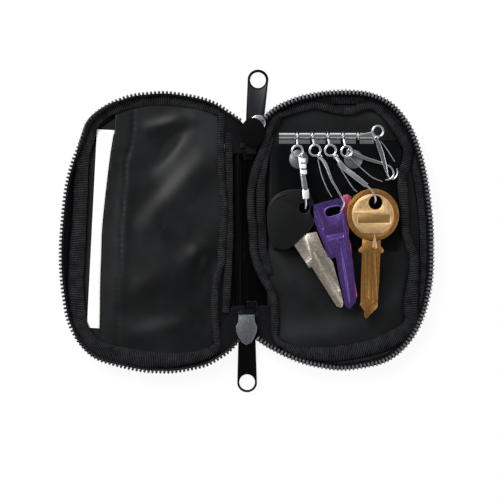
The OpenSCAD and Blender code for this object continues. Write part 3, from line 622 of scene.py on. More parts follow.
def zipHalf(side):
    look, spacing = zipLook[side], chainLook["spacing"]
    teeth = smoothPath(teethLines[side], spacing)
    out = outward(teeth, coverMiddles[side])
    seam = teeth - out * chainLook["seam"]
    dips = [zipDip(x) for x, y in teeth]

    def ring(k):
        wave = 0.12 * ripple(k * spacing, 0.7)
        return [(o + wave * (o / 5), z - dips[k] * min(1, max(0, (z - 2) / 5))) for o, z in look["tape"]]

    def cordRing(k):
        level = chainLook["cordLevel"] - dips[k]
        return [(look["cord"] + chainLook["cordWide"] * math.cos(a), level + chainLook["cordHigh"] * math.sin(a))
                for a in turns(10)]

    tape = profileSweep(side + "ZipTape", seam, out, ring, tapeWeave, spacing)
    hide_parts(side + "_zip_tape")
    cord = profileSweep(side + "ZipCord", seam, out, cordRing, stitchThread, spacing)
    # one coil of nylon, shaped once, then set all along the chain
    bpy.ops.mesh.primitive_cylinder_add(vertices=8, radius=0.5, depth=1.0)
    coil = bpy.context.object
    editAll(coil)
    bpy.ops.mesh.bevel(offset=chainLook["coilEdge"], segments=2, affect="EDGES")
    bpy.ops.transform.resize(value=look["coil"], center_override=(0, 0, 0))
    bpy.ops.object.mode_set(mode="OBJECT")
    unit = np.array([v.co for v in coil.data.vertices])
    unitFaces = [tuple(p.vertices) for p in coil.data.polygons]
    bpy.data.objects.remove(coil)
    places = smoothPath(teethLines[side], chainLook["pitch"])
    outs = outward(places, coverMiddles[side])
    lean = math.radians(look["lean"])
    vertices, faces = [], []
    for k, (p, o) in enumerate(zip(places, outs)):
        level = chainLook["coilLevel"] - zipDip(p[0])
        for u in unit:
            over = u[1] * math.cos(lean) + u[2] * math.sin(lean) + look["stand"]
            up = u[2] * math.cos(lean) - u[1] * math.sin(lean)
            vertices.append((p[0] + o[1] * u[0] + o[0] * over, p[1] - o[0] * u[0] + o[1] * over, level + up))
        faces += [tuple(i + k * len(unit) for i in face) for face in unitFaces]
    coils = meshPiece(side + "ZipCoils", vertices, faces, look["teeth"], smooth=50)
    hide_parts(side + "_zip_teeth", side + "_zip_run")
    for piece in (tape, cord, coils):
        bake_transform(piece)
    return seam, out


def stitches(name, path, level, pitch, length, radius):
    # a row of lockstitches lying in the cloth; path in mm, level(x, y) the cloth's height
    dense = smoothPath([tuple(p[:2]) for p in path], pitch)
    shape = ((0, 0.25), (0.15, 0.9), (0.5, 1), (0.85, 0.9), (1, 0.25))  # place along a stitch, share of its radius
    sides = 6
    vertices, faces = [], []
    for here, after in zip(dense[:-1], dense[1:]):
        d = (after - here) / max(1e-6, np.linalg.norm(after - here))
        n = np.array([-d[1], d[0]])
        start = len(vertices)
        for t, r in shape:
            c = here + d * t * length
            z = level(c[0], c[1])
            for w in turns(sides):
                vertices.append((c[0] + n[0] * radius * r * math.cos(w), c[1] + n[1] * radius * r * math.cos(w),
                                 z - radius * 0.4 + radius * r * math.sin(w) - 0.3 * radius * abs(2 * t - 1)))
        for i in range(len(shape) - 1):
            for j in range(sides):
                a, b = start + i * sides + j, start + i * sides + (j + 1) % sides
                faces.append((a, b, b + sides, a + sides))
        for end in (start, len(vertices) - sides):
            faces.append(tuple(range(end, end + sides)))
    return meshPiece(name, vertices, faces, stitchThread)


zipHalf("left")
rightSeam, rightOut = zipHalf("right")
edgingProfile = ((0.3, 2.2), (1.3, 2.45), (2.3, 2.75), (3.1, 3.3), (2.9, 3.75), (2.2, 3.45), (1.2, 3.15), (0.3, 2.9))


def edgingRing(k):
    wave = 0.15 * ripple(k * chainLook["spacing"], 3.3)
    return [(d + wave, z) for d, z in edgingProfile]


edging = profileSweep("rightEdging", rightSeam, rightOut, edgingRing, bindingRibs, chainLook["spacing"])
tapeStitchLook = {"pitch": 1.7, "length": 1.2, "radius": 0.13}
tapeStitchPlace = {"out": 3.35, "level": 3.95}
tapeStitch = stitches("tapeStitch", rightSeam + rightOut * tapeStitchPlace["out"],
                      lambda x, y: tapeStitchPlace["level"] - zipDip(x), **tapeStitchLook)
for piece, slotName in ((edging, "binding"), (tapeStitch, "zip_tape")):
    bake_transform(piece)
print("zip made")


bindingLook = {"spacing": 0.9, "sides": 18, "twist": 0.35 * 0.3, "lowest": 0.4}


def binding(name, widths, heights, levels, seed, lean=0.0):
    # a folded tape: a flattened roll with one raised edge; widths and levels follow the line
    spacing = bindingLook["spacing"]
    path = smoothPath(spot(bindingLines[name]), spacing)
    share = np.linspace(0, 1, len(path))
    width, height, middle = spread(widths, share), spread(heights, share), spread(levels, share)
    sections = []
    for k, (place, side) in enumerate(zip(path, sideways(path))):
        w, h = width[k] / 2 * (1 + 0.08 * ripple(k * spacing, seed)), height[k] / 2
        lift = middle[k] + 0.15 * ripple(k * spacing * 1.3, seed + 1.7)
        tilt = lean + bindingLook["twist"] * ripple(k * spacing, seed + 4)
        ring = []
        for a in turns(bindingLook["sides"]):
            o = w * squared(math.cos(a), 0.75)
            z = h * squared(math.sin(a), 0.8) * (1 - 0.18 * math.cos(a * 2 + 0.6))
            level = max(bindingLook["lowest"], lift + z + tilt * o)
            ring.append((place[0] + side[0] * o, place[1] + side[1] * o, level))
        sections.append(ring)
    return sweep(name, sections, bindingRibs, spacing, smooth=180)


# picture places along each band, from its upper end
bindingLines = {
    "leftBinding": [(222, 113), (214, 109.5), (205.5, 106.6), (190.5, 103.3), (175.4, 101.0), (156.6, 100.1),
                    (137.8, 101.6), (122.7, 105.3), (109.6, 109.8), (99.2, 117.0), (91.7, 125.5), (87.0, 139.6),
                    (83.2, 154.6), (81.3, 171.5), (80.6, 190.4), (79.8, 209.2), (78.7, 231.8), (77.2, 250.6),
                    (76.1, 269.4), (75.3, 284.4), (76.1, 301.4), (77.6, 316.4), (81.3, 329.6), (87.9, 340.9),
                    (98.3, 349.3), (111.4, 354.1), (128.4, 357.4), (149.1, 359.7), (167.9, 360.5), (186.7, 358.8),
                    (201.8, 355.9), (213.0, 351.2), (219, 345.5)],
    "leftRoll": [(221.5, 112.5), (221.5, 128.3), (220.6, 141.4), (220.9, 160.3), (221.5, 175.3), (222.5, 190.4),
                 (224.3, 205.4), (223.0, 228.0), (221.7, 246.8), (221.5, 260.0), (219.1, 269.4), (216.4, 280.7),
                 (214.9, 295.7), (214.5, 310.8), (215.9, 327.7), (218.3, 346.6)],
    "leftFlap": [(226, 113), (228, 128), (228.5, 141), (228.8, 160.3), (228.5, 190.4), (229, 228.0), (228.5, 260.0),
                 (227.5, 280.7), (226.4, 300), (225.6, 313)],
    "rightRoll": [(281, 113.5), (274.5, 118.5), (270.3, 128.2), (266.6, 137.6), (262.9, 149.6), (257.3, 164.7),
                  (253.5, 177.8), (251.1, 192.9), (251.1, 211.7), (253.0, 230.5), (253.9, 249.3), (257.8, 264.4),
                  (263.5, 277.6), (270.5, 289.8), (274.2, 305.8), (274.8, 322.7), (275.6, 337.8), (284.8, 347.1)],
    "rightFlap": [(271, 134), (266, 152), (262.5, 170), (260.5, 190), (260.5, 211.7), (261.5, 230.5), (262.5, 249.3),
                  (265.5, 262), (269.5, 274)],
    "rightBinding": [(279, 115.2), (286.4, 112.9), (295.9, 109.7), (305.3, 106.9), (314.7, 104.8), (327.8, 107.7),
                     (342.9, 110.7), (354.2, 110.1), (361.7, 106.7), (373.0, 106.3), (386.2, 115.7), (395.6, 127.0),
                     (404.0, 140.2), (408.7, 151.5), (406.5, 162.8), (402.2, 176.0), (403.1, 192.9), (404.4, 211.7),
                     (405.5, 230.5), (410.2, 245.6), (414.4, 260.6), (413.4, 279.4), (411.6, 296.4), (411.0, 309.5),
                     (412.4, 319.9), (406.9, 330.2), (393.7, 338.1), (380.5, 344.0), (361.7, 349.6), (342.9, 352.8),
                     (324.1, 354.3), (305.3, 353.2), (292.1, 350.0), (281, 344.3)],
}
leftBand = binding("leftBinding", [3.6, 4.2, 4.6, 5.0, 5.8, 6.2, 6.3, 6.3, 6.8, 7.6, 8, 7.6, 6, 4.5],
                   [1.8, 2, 2, 2, 1.9, 1.9, 2], [3.7, 3.8, 3.9, 3.7, 3.6, 3.6, 3.8], 1.2, -0.06)
leftRoll = binding("leftRoll", [3.2, 3.4, 3.2, 3.5, 3.4, 3.2], [2.3, 2.5, 2.4], [3.9, 4.0, 3.9], 2.3)
leftFlap = binding("leftFlap", [3.0, 3.6, 3.6, 3.2], [1.0, 1.1], [3.2, 3.2], 3.1)
rightRoll = binding("rightRoll", [2.6, 3.4, 3.6, 3.8, 3.6, 3.6, 3], [2, 2.6, 2.6, 2.4], [3.9, 4.0, 4.0, 3.8], 0.4)
rightFlap = binding("rightFlap", [3.6, 4.2, 4.2, 3.4], [1.1, 1.1], [3.1, 3.1], 2.9)
rightBand = binding("rightBinding", [2.8, 3.4, 3.4, 4.4, 4.2, 4.0, 4.2, 5.5, 7, 7.2, 6.2, 3.5],
                    [1.9, 2.1, 2.2, 2.2, 1.9, 1.8], [3.8, 3.9, 3.9, 3.6], 5.1)
leftRing = joined([leftBand, leftRoll], "leftBinding")
for piece, body in ((leftRing, "left_cover"), (leftFlap, "left_cover"), (rightBand, "right_cover")):
    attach(piece, body)
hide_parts("left_binding")
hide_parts("right_binding")
for piece in (rightRoll, rightFlap):
    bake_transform(piece)
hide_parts("spine_fold_binding")
print("bindings made")


pocketEdge = [(114.5, 124), (114.5, 130.7), (112.3, 144), (110.4, 156.5), (107.5, 180), (104.6, 205.5), (102.3, 231),
              (101.5, 256.5), (100.6, 279.5), (100.2, 310), (99.9, 328), (100, 343)]
pocketHem = [(134, 118.5), (131.4, 143), (126, 161), (125, 184), (123, 206), (121, 228), (120, 256), (119, 283),
             (118.4, 311), (118.4, 345)]
pocketRest = [(112, 351), (128.4, 354.5), (149.1, 356.5), (167.9, 357), (186.7, 355.5), (201.8, 352), (213, 346.5),
              (215.5, 332), (214.5, 310), (215.5, 290), (219.5, 268), (222, 246), (223.5, 205), (221, 170),
              (221, 140), (220.5, 118), (205, 108.5), (190, 105.5), (175.4, 103.5), (156.6, 102.5), (137.8, 104.5),
              (124, 108.5), (115, 113.5)]
pocketLook = {"level": 3.6, "lowest": 3.12, "highest": 5.4, "spacing": 1.1, "thickness": 0.35, "growth": 0.012,
              "cap": 0.9, "roll": 0.25}
hemLine = np.array(spot(pocketHem))[::-1]


def pocketHeight(x, y):
    # lies on the card, rises in soft folds, and is pressed under the binding at its rim
    rise = pocketLook["level"] + foldHeight("left", x, y)
    hemX = np.interp(y, hemLine[:, 1], hemLine[:, 0])
    pucker = 0.25 * math.exp(-((x - hemX) / 0.5) ** 2) * (1 + 0.5 * math.sin(y * 3.3))
    return max(pocketLook["lowest"], min(pocketLook["highest"], rise - pucker))


edge = [tuple(p) for p in smoothPath(spot(pocketEdge), 1.5)]
pocket = filled("pocketPanel", edge + spot(pocketRest), pocketLook["spacing"], pocketHeight, pocketSatin)
relax(pocket, pocketLook["growth"], pocketLook["cap"], pocketLook["lowest"])
finishWith(pocket, "SUBSURF", levels=1, render_levels=1)
finishWith(pocket, "SOLIDIFY", thickness=pocketLook["thickness"] * mm, offset=-1)
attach(pocket, "left_cover")
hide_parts("pocket_panel")


def levelOf(piece):
    # height of a cloth piece under a stitch, in mm
    tree = KDTree(len(piece.data.vertices))
    for vertex in piece.data.vertices:
        tree.insert((vertex.co.x, vertex.co.y, 0), vertex.index)
    tree.balance()

    def level(x, y):
        near = tree.find_n((x * mm, y * mm, 0), 6)
        return max(piece.data.vertices[index].co.z for _, index, _ in near) / mm + 0.03
    return level


pocketLevel = levelOf(pocket)
hemLook = {"pitch": 1.9, "length": 1.35, "radius": 0.13}
hem = stitches("pocketHemStitch", spot(pocketHem), pocketLevel, **hemLook)
roll = pocketLook["roll"]
edgeStitch = sweep("pocketEdgeRoll", [
    [(x + roll * math.cos(a), y, pocketLevel(x + 0.3, y) - 0.1 + roll * math.sin(a)) for a in turns(8)]
    for x, y in smoothPath(edge[3:-3], 1.5)], patchSatin, 1.5)
for piece in (hem, edgeStitch):
    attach(piece, "left_cover")

patchCorner = spot([(274, 141.5), (402, 140.4), (402.5, 200), (400, 250), (380, 251.5), (340, 250), (300, 251.5),
                    (273, 250.5), (272.5, 200)])
patchLook = {"level": 2.95, "thickness": 0.35, "spacing": 1.3, "growth": 0.004, "cap": 0.4}


def patchHeight(x, y):
    # sewn down along its rim; below the keys its free edge hangs in a wave
    hang = max(0.0, (-4 - y) / 6)
    sewn = min(1, max(0, (x - 9.6) / 2.5), max(0, (65.6 - x) / 2.5), max(0, (39 - y) / 2)) if y > -6 else 1
    wave = 0.3 * min(1, hang) * (0.5 + 0.5 * math.sin(x * 0.35)) * (1 if y < 0 else 0)
    return patchLook["level"] + 0.4 * sewn + 0.5 * max(0, foldHeight("right", x, y)) + wave


patchOutline = smoothClosed(np.array(patchCorner), 2.0)
patch = filled("keyPatch", patchOutline, patchLook["spacing"], patchHeight, patchSatin)
relax(patch, patchLook["growth"], patchLook["cap"], patchLook["level"])
finishWith(patch, "SUBSURF", levels=1, render_levels=1)
finishWith(patch, "SOLIDIFY", thickness=patchLook["thickness"] * mm, offset=-1)
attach(patch, "right_cover")
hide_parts("key_patch")
print("pocket and patch made")


# half its width and half its length, the sheet's squares and the outer cloth's top, in mm
spineLook = {"half": 6.95, "length": 35.2, "across": 0.5, "along": 1.0, "outerTop": 0.75, "thickness": 0.7}


def spineSheet(name, levels, material):
    # an even sheet over the spine; levels(x, y) gives z in mm
    vertices, faces, uv = [], [], []
    xs = np.arange(-spineLook["half"], spineLook["half"] + 0.01, spineLook["across"])
    ys = np.arange(-spineLook["length"], spineLook["length"] + 0.01, spineLook["along"])
    for y in ys:
        for x in xs:
            vertices.append((x, y, levels(x, y)))
            uv.append((y, x))
    n = len(xs)
    for r in range(len(ys) - 1):
        for c in range(n - 1):
            faces.append((r * n + c, r * n + c + 1, (r + 1) * n + c + 1, (r + 1) * n + c))
    return meshPiece(name, vertices, faces, material, uv)


spineOuter = spineSheet("spineOuter", lambda x, y: 0.05, outerNylon)
finishWith(spineOuter, "SOLIDIFY", thickness=spineLook["thickness"] * mm, offset=-1)


def valley(x, y):
    # the lining sinks between the two seams, with two upright creases
    end = min(1, max(0, (35 - abs(y)) / 6))
    outer = 0.7 * math.exp(-((x + 4.7 - 0.15 * ripple(y, 1.1)) / 0.5) ** 2)
    inner = 0.35 * math.exp(-((x + 1.9) / 0.45) ** 2) * (1 if y < -10 else 0.2)
    return 2.25 + end * (outer + inner) + 0.06 * ripple(y * 2 + x * 3, 0.5)


# its darker satin is painted shade in the valley
spineLining = spineSheet("spineLining", valley, spineSatinPaintedShade)
if sum(p.normal.z for p in spineLining.data.polygons) < 0:
    spineLining.data.flip_normals()
for piece, stoodFor, slotName in ((spineOuter, "spine_outer_panel", "outer_cloth"),
                                  (spineLining, "spine_lining", "satin_lining")):
    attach(piece, "spine")
    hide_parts(stoodFor)
# the outer cloth lies flat on the table
for vertex in spineOuter.data.vertices:
    vertex.co.z = 0.0 if vertex.co.z < 0.05 * mm else spineLook["outerTop"] * mm

# cross seams: a bound strip and a small lighter tab at each end of the spine
tabs = []
for name, y, x0, x1 in (("crossSeamTop", 145.8, 240, 262), ("crossSeamBottom", 314.2, 238, 259)):
    low, high = spot([(x0, y + 3)])[0], spot([(x1, y - 3)])[0]
    run = high[0] - low[0]
    line = [(low[0] + run * t, (low[1] + high[1]) / 2 + 0.25 * math.sin(7 * t)) for t in np.linspace(0, 1, 14)]
    sections = [[(x, across + 1.25 * math.cos(a), 3.0 + 0.5 * math.sin(a) + 0.08 * ripple(x * 4, 2)) for a in turns(12)]
                for x, across in line]
    tabs.append(sweep(name, sections, bindingRibs, abs(run) / 13, smooth=180))
for name, (x0, y0, x1, y1) in (("seamTabTop", (243, 149, 254, 160)), ("seamTabBottom", (246, 301, 258, 312))):
    outline = smoothClosed(np.array(spot([(x0, y0), (x1, y0), (x1 - 0.6, y1), (x0 + 1, y1)])), 0.6)
    tab = filled(name, outline, 0.7, lambda x, y: 3.15 + 0.1 * math.sin(x * 2 + y), patchSatin)
    finishWith(tab, "SOLIDIFY", thickness=0.45 * mm, offset=-1)
    tabs.append(tab)
crossSeams = joined(tabs, "crossSeams")
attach(crossSeams, "spine")
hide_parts("cross_seam_bindings")

# domed cloth cover over the top slider, and the folded ends of the zip
domeLook = {"middle": (252.8, 133.2), "size": (5.25, 6.4, 1.0), "level": 6.8, "cut": -6.2}
domeX, domeY = spot([domeLook["middle"]])[0]
bpy.ops.mesh.primitive_uv_sphere_add(segments=36, ring_count=18, radius=1)
dome = bpy.context.object
editAll(dome)
bpy.ops.transform.resize(value=domeLook["size"], center_override=(0, 0, 0))
bpy.ops.mesh.bisect(plane_co=(0, domeLook["cut"], 0), plane_no=(0, -1, 0), clear_outer=True, use_fill=True)
bpy.ops.object.mode_set(mode="OBJECT")
for vertex in dome.data.vertices:
    x, y, z = vertex.co
    z = max(0.0, z) + 0.06 * math.sin(x * 1.3 + y) * (z > 0)
    vertex.co = Vector(((domeX + x) * mm, (domeY + y) * mm, (domeLook["level"] + z) * mm))
settle(dome, "zipEndCover", coverCloth, 180)
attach(dome, "spine")
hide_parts("zip_end_cover")
ends = []
for name, x, y0, y1 in (("zipEndTop", 0.4, 33.2, 36.6), ("zipEndBottom", -0.4, -36.6, -33.2)):
    sections = [[(x + 2.3 * squared(math.cos(a), 0.6), y, 4.6 + 1.2 * squared(math.sin(a), 0.7)) for a in turns(16)]
                for y in np.linspace(y0, y1, 6)]
    ends.append(sweep(name, sections, tapeWeave, 0.7, smooth=60))
zipEndPiece = joined(ends, "zipEnds")
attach(zipEndPiece, "spine")
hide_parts("zip_ends")
print("spine made")


# cloth under the folds and the gussets at the four inner corners: nothing pale shows between the pieces
foldLook = {"levels": (0.35, 0.95), "across": (6.2, 7.1, 9.0), "end": 37, "rows": 36}
rowPlaces = np.linspace(-foldLook["end"], foldLook["end"], foldLook["rows"])
for side, sign in (("left", -1), ("right", 1)):
    places = [(sign * x, y, z) for z in foldLook["levels"] for y in rowPlaces for x in foldLook["across"]]
    corners = [layer + r * 3 + c for layer in (0, 3 * len(rowPlaces))
               for r in range(len(rowPlaces) - 1) for c in range(2)]
    fold = meshPiece(side + "FoldCloth", places, [(a, a + 1, a + 4, a + 3) for a in corners], outerNylon)
    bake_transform(fold)

gussets = {
    "leftGussetTop": [(217, 116), (221, 110.5), (229, 112.5), (238, 118.5), (243.5, 124), (244, 143), (247.4, 146.5),
                      (247.4, 153.5), (232, 153.5), (226, 146), (219, 134)],
    "rightGussetTop": [(285, 113), (278, 108.5), (268.5, 112.6), (262, 118.6), (259, 125), (258.4, 143),
                       (254.6, 146.5), (254.6, 153.5), (266, 153), (270, 142), (277, 128)],
    "leftGussetBottom": [(216, 346), (222, 355), (230, 350.6), (239, 341.4), (243, 335), (243, 316), (245.8, 312),
                         (245.8, 305.5), (232, 306), (225, 318), (218, 333)],
    "rightGussetBottom": [(282, 344.6), (277, 352), (269.5, 348.4), (256.5, 340.2), (251.5, 335), (252, 307),
                          (262, 305), (271, 306), (276, 322), (277, 338)],
}


def slope(x, y):
    # rises from the fold to the zip at the case's end
    return 2.75 + 1.9 * min(1, max(0, (abs(y) - 36) / 13)) + 0.12 * ripple(x * 3 + y, 1.9)


for name, outline in gussets.items():
    side = "left" if name.startswith("left") else "right"
    gusset = filled(name, smoothClosed(np.array(spot(outline)), 1.4), 0.9, slope, tapeWeave)
    finishWith(gusset, "SOLIDIFY", thickness=0.5 * mm, offset=-1)
    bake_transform(gusset)
print("gussets made")


brokenEdge = math.radians(28)  # edges sharper than this get a bevel


def bladeShape(name, outline, low, high, material, rounding, holes=(), segments=2, smooth=35):
    # a stamped plate: outline in picture places, heights and rounding in mm, holes cut in, edges broken
    mesh = bpy.data.meshes.new(name)
    mesh.from_pydata([(x * mm, y * mm, low * mm) for x, y in spot(outline)], [], [tuple(range(len(outline)))])
    piece = bpy.data.objects.new(name, mesh)
    bpy.context.scene.collection.objects.link(piece)
    editAll(piece)
    bpy.ops.mesh.extrude_region_move(TRANSFORM_OT_translate={"value": (0, 0, (high - low) * mm)})
    bpy.ops.mesh.select_all(action="SELECT")
    bpy.ops.mesh.normals_make_consistent(inside=False)
    bpy.ops.object.mode_set(mode="OBJECT")
    for kind, place, size, turn in holes:
        cutPlate(piece, kind, place, size, turn)
    if rounding:
        finishWith(piece, "BEVEL", width=rounding * mm, segments=segments, limit_method="ANGLE", angle_limit=brokenEdge)
    piece.data.materials.append(material)
    makeActive(piece)
    bpy.ops.object.shade_smooth_by_angle(angle=math.radians(smooth))
    return piece


def cutPlate(piece, kind, place, size, turn):
    # place in the picture; size: its two widths, then from which height up to which, in mm; turn in degrees;
    # a soft cut has rounded corners
    x, y = spot([place])[0]
    width, height, low, high = size
    if kind == "round":
        bpy.ops.mesh.primitive_cylinder_add(vertices=40, radius=0.5, depth=1)
    else:
        bpy.ops.mesh.primitive_cube_add(size=1)
    tool = bpy.context.object
    tool.scale = (width * mm, height * mm, (high - low) * mm)
    tool.rotation_euler = (0, 0, math.radians(turn))
    tool.location = (x * mm, y * mm, (low + high) / 2 * mm)
    if kind == "soft":
        settle(tool, "cutter")
        finishWith(tool, "BEVEL", width=min(width, height) * 0.35 * mm, segments=4, limit_method="ANGLE")
    finishWith(piece, "BOOLEAN", object=tool, operation="DIFFERENCE", solver="EXACT")
    bpy.data.objects.remove(tool)


def rodAlong(name, points, widths, heights, material, square=2.0, sides=12, spacing=0.5):
    # wire or strap along a path of (x, y, z) in mm; square above 2 makes its section boxy
    path = smoothPath(points, spacing)
    share = np.linspace(0, 1, len(path))
    width, height = spread(widths, share), spread(heights, share)
    along = np.gradient(path, axis=0)
    along /= np.linalg.norm(along, axis=1)[:, None]
    side = np.cross(along, np.array([0, 0, 1.0]))
    side /= np.maximum(np.linalg.norm(side, axis=1), 1e-6)[:, None]
    up = np.cross(side, along)
    sections = []
    for k in range(len(path)):
        ring = []
        for a in turns(sides) + math.pi / sides:
            o = width[k] / 2 * squared(math.cos(a), 2 / square)
            z = height[k] / 2 * squared(math.sin(a), 2 / square)
            ring.append(tuple(path[k] + side[k] * o + up[k] * z))
        sections.append(ring)
    return sweep(name, sections, material, spacing, smooth=40)


def lifted(points, level):
    # picture places with one height in mm
    return [(x, y, level) for x, y in spot(points)]


def raised(places):
    # picture places, each with its own height in mm
    return [(*spot([(x, y)])[0], z) for x, y, z in places]


def circle(middle, radius, angles):
    # picture places round a middle, radius in mm
    return [(middle[0] + radius * pxPerMm * math.cos(a), middle[1] + radius * pxPerMm * math.sin(a)) for a in angles]


openTop = 12  # mm: above every piece, where a cut from above begins

# brass key: round head with a rim, a sunk face and a bare name plate, a milled blade
brassLook = {"low": 8.1, "high": 9.55, "face": 9.35, "head": (371.8, 215.2), "rim": 11.1, "sunk": 18.4,
             "faceRadius": 8.9, "hole": (374.4, 203), "bore": 5.7, "faceBore": 6.1, "faceEnd": 233.5}
brassBlade = [(361.6, 238), (361, 246), (358.5, 248.3), (357.3, 250.6), (358.8, 252.8), (361, 253.2), (360.2, 275),
              (359.6, 302), (359, 304.5), (363.4, 310.7), (363.2, 315.4), (364.6, 318), (367, 316.2), (376.3, 306.8),
              (378, 280), (379.2, 253.4), (381.6, 252.6), (382.7, 250.6), (381.5, 248.3), (379.4, 246), (379.6, 239)]
brassOutline = circle(brassLook["head"], brassLook["rim"], np.linspace(math.radians(68), math.radians(472), 60))
brassHead = bladeShape("brassHead", brassOutline[:-1], brassLook["low"], brassLook["high"], brassBrowner, rounding=0.35,
                       segments=3, holes=[
    ("round", brassLook["head"], (brassLook["sunk"], brassLook["sunk"], brassLook["face"], openTop), 0),
    ("round", brassLook["hole"], (brassLook["bore"], brassLook["bore"], 7, openTop), 0)])
faceCircle = circle(brassLook["head"], brassLook["faceRadius"], turns(48))
faceOutline = [(x, min(y, brassLook["faceEnd"])) for x, y in faceCircle]
brassFace = bladeShape("brassFace", faceOutline, 9.2, 9.6, brassMilled, rounding=0.12, holes=[
    ("round", brassLook["hole"], (brassLook["faceBore"], brassLook["faceBore"], 7, openTop), 0),
    ("box", (373, 219), (13.9, 3.9, 9.42, openTop), 0)])
brassShaft = bladeShape("brassShaft", brassBlade, 8.15, 9.5, brassBrowner, rounding=0.2, holes=[
    ("box", (370.8, 278), (0.7, 21, 9.15, openTop), 1.2),
    ("box", (366.2, 276), (1.3, 19, 9.3, openTop), 1.2),
    ("box", (375.4, 276), (1.0, 20, 9.3, openTop), 1.5)])
plateOutline = [(357.2, 215), (388.7, 215), (388.7, 223.2), (357.2, 223.2)]
brassPlate = bladeShape("brassPlate", plateOutline, 9.3, 9.45, brassDull, rounding=0.05)
# the spear is raised and takes the paler face brass: a painted highlight on the blade
spearOutline = [(371, 247), (373.4, 233), (376.2, 247), (374.6, 249)]
brassSpearHighlight = bladeShape("brassSpearHighlight", spearOutline, 9.45, 9.75, brassMilled, rounding=0.12)
brassKey = joined([brassHead, brassFace, brassShaft, brassPlate, brassSpearHighlight], "brassKey")

# purple key: rolled edges round its head and its hole, a paler bare band, a ridge along the blade
purpleOutline = [(309.4, 212), (310.2, 207.6), (312.6, 205.6), (320, 203.2), (332, 200.2), (337.4, 198.6),
                 (340.6, 199.6), (342, 203), (345.6, 222), (349.4, 247), (352, 262), (355.3, 297.3), (354.6, 301.5),
                 (349, 308.3), (346.6, 307.2), (344.3, 304.4), (338, 275), (335.2, 257), (331, 258.4), (327.6, 257),
                 (322, 242), (314.6, 224)]
purpleHole = [(323.6, 212.4), (325, 209.4), (328.4, 207.6), (336, 206.2), (340.2, 207.2), (341, 211.4),
              (338.4, 214.6), (330.6, 217.2), (325.8, 217)]
purplePlate = bladeShape("purplePlate", purpleOutline, 8.2, 9.7, purpleAnodised, rounding=0)
holeCutter = bladeShape("cutter", purpleHole, 7, 11, purpleAnodised, rounding=0)
finishWith(purplePlate, "BOOLEAN", object=holeCutter, operation="DIFFERENCE", solver="EXACT")
bpy.data.objects.remove(holeCutter)
for place, size, turn in (((334.4, 236.2), (8.7, 3.6, 9.5, openTop), 12), ((318.4, 220), (1.5, 9, 9.45, openTop), 21)):
    cutPlate(purplePlate, "soft", place, size, turn)
finishWith(purplePlate, "BEVEL", width=0.22 * mm, segments=2, limit_method="ANGLE", angle_limit=brokenEdge)
bandOutline = [(324.8, 234.4), (343.6, 230.4), (345.2, 237.8), (326.6, 242.2)]
purpleBand = bladeShape("purpleBand", bandOutline, 9.4, 9.55, purpleWornAndHighlight, rounding=0.04)
# the paler rim and ridge are a painted highlight
purpleRim = rodAlong("purpleRim", lifted(purpleHole + purpleHole[:1], 9.7), [0.55], [0.3], purpleWornAndHighlight)
ridgeLine = lifted([(340.2, 247), (341.4, 256), (345.2, 280), (348.6, 302)], 9.7)
purpleRidge = rodAlong("purpleRidge", ridgeLine, [0.3, 1.1, 1.1, 0.6], [0.25, 0.5, 0.5, 0.3], purpleWornAndHighlight)
edgeLine = lifted([(313.4, 211), (319, 226), (327, 244), (331.4, 254)], 9.68)
purpleEdge = rodAlong("purpleEdge", edgeLine, [0.5], [0.25], purpleAnodised)
purpleKey = joined([purplePlate, purpleBand, purpleRim, purpleRidge, purpleEdge], "purpleKey")

# pink key: the same blank behind it, seen only along the right side
pinkOutline = [(341, 199.4), (343, 195.8), (347, 194.6), (350.6, 197), (350.6, 203), (346.6, 210), (346.2, 218),
               (348.8, 227), (347.6, 236), (350.4, 246), (351.4, 260), (352.6, 272), (356.6, 296), (353, 303),
               (347, 300), (341, 270), (338, 262), (334, 250), (331, 225), (334, 209)]
pinkKey = bladeShape("pinkKey", pinkOutline, 6.5, 7.9, pinkAnodised, rounding=0.3, segments=3,
                     holes=[("round", (337, 211.5), (4.9, 4.9, 5, openTop), 0)])

# car key: moulded bow with a soft shoulder, and its milled blade
bowOutline = [(268, 206), (266.8, 213), (266.8, 220), (267.2, 229), (269.2, 238.4), (273.4, 246), (281, 249.8),
              (288.4, 248.6), (295.4, 243.6), (302, 237.4), (309, 231), (313.6, 223), (314.6, 213), (313, 202.6),
              (309.4, 194.4), (304.6, 190.8), (298, 189.4), (289.6, 189.8), (280, 192.6), (272, 198.4)]
bowFlat = smoothClosed(np.array(smoothPath(bowOutline + bowOutline[:1], 2.4)), 2.4)
blackBow = bladeShape("blackKeyBow", [tuple(p) for p in bowFlat], 6.7, 9.7, bowPlastic, rounding=0.95, segments=4,
                      smooth=50, holes=[("round", (303.6, 208.3), (4.3, 4.3, 5, openTop), 0)])
shoulderLine = lifted([(270.4, 214), (272, 205.6), (276, 199), (285, 195), (294, 193.4)], 9.6)
bowShoulder = rodAlong("bowShoulder", shoulderLine, [0.5, 1.3, 1.3, 0.5], [0.1, 0.45, 0.45, 0.1], bowPlastic)
blackBow = joined([blackBow, bowShoulder], "blackKeyBow")
bladeOutline = [(293.9, 245.3), (308.7, 267.8), (311.2, 266.7), (335.7, 305.5), (338.6, 307), (341.5, 306.5),
                (342.4, 302), (340, 290), (332, 262), (322, 247), (316, 232), (305, 234)]
carBlade = bladeShape("blackKeyBlade", bladeOutline, 7.45, 9.1, bladeNickel, rounding=0.18, holes=[
    ("box", (326.4, 271.4), (1.5, 19.5, 8.3, openTop), 31.5),
    ("box", (334, 280), (0.7, 17, 8.6, openTop), 31.5),
    ("box", (302.4, 252.4), (3.4, 8.5, 8.98, openTop), 33)])
keyRides = [
    (brassKey, "brass_blank", "brass_key", "brass"),
    (purpleKey, "purple_blank", "purple_key", "purple_anodised"),
    (pinkKey, "pink_blank", "pink_key", "pink_anodised"),
    (blackBow, "black_key", "black_key_bow", "bow_plastic"),
    (carBlade, "black_key", "black_key_blade", "blade_nickel"),
]
for piece, body, stoodFor, slotName in keyRides:
    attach(piece, body)
    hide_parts(stoodFor)
print("keys made")


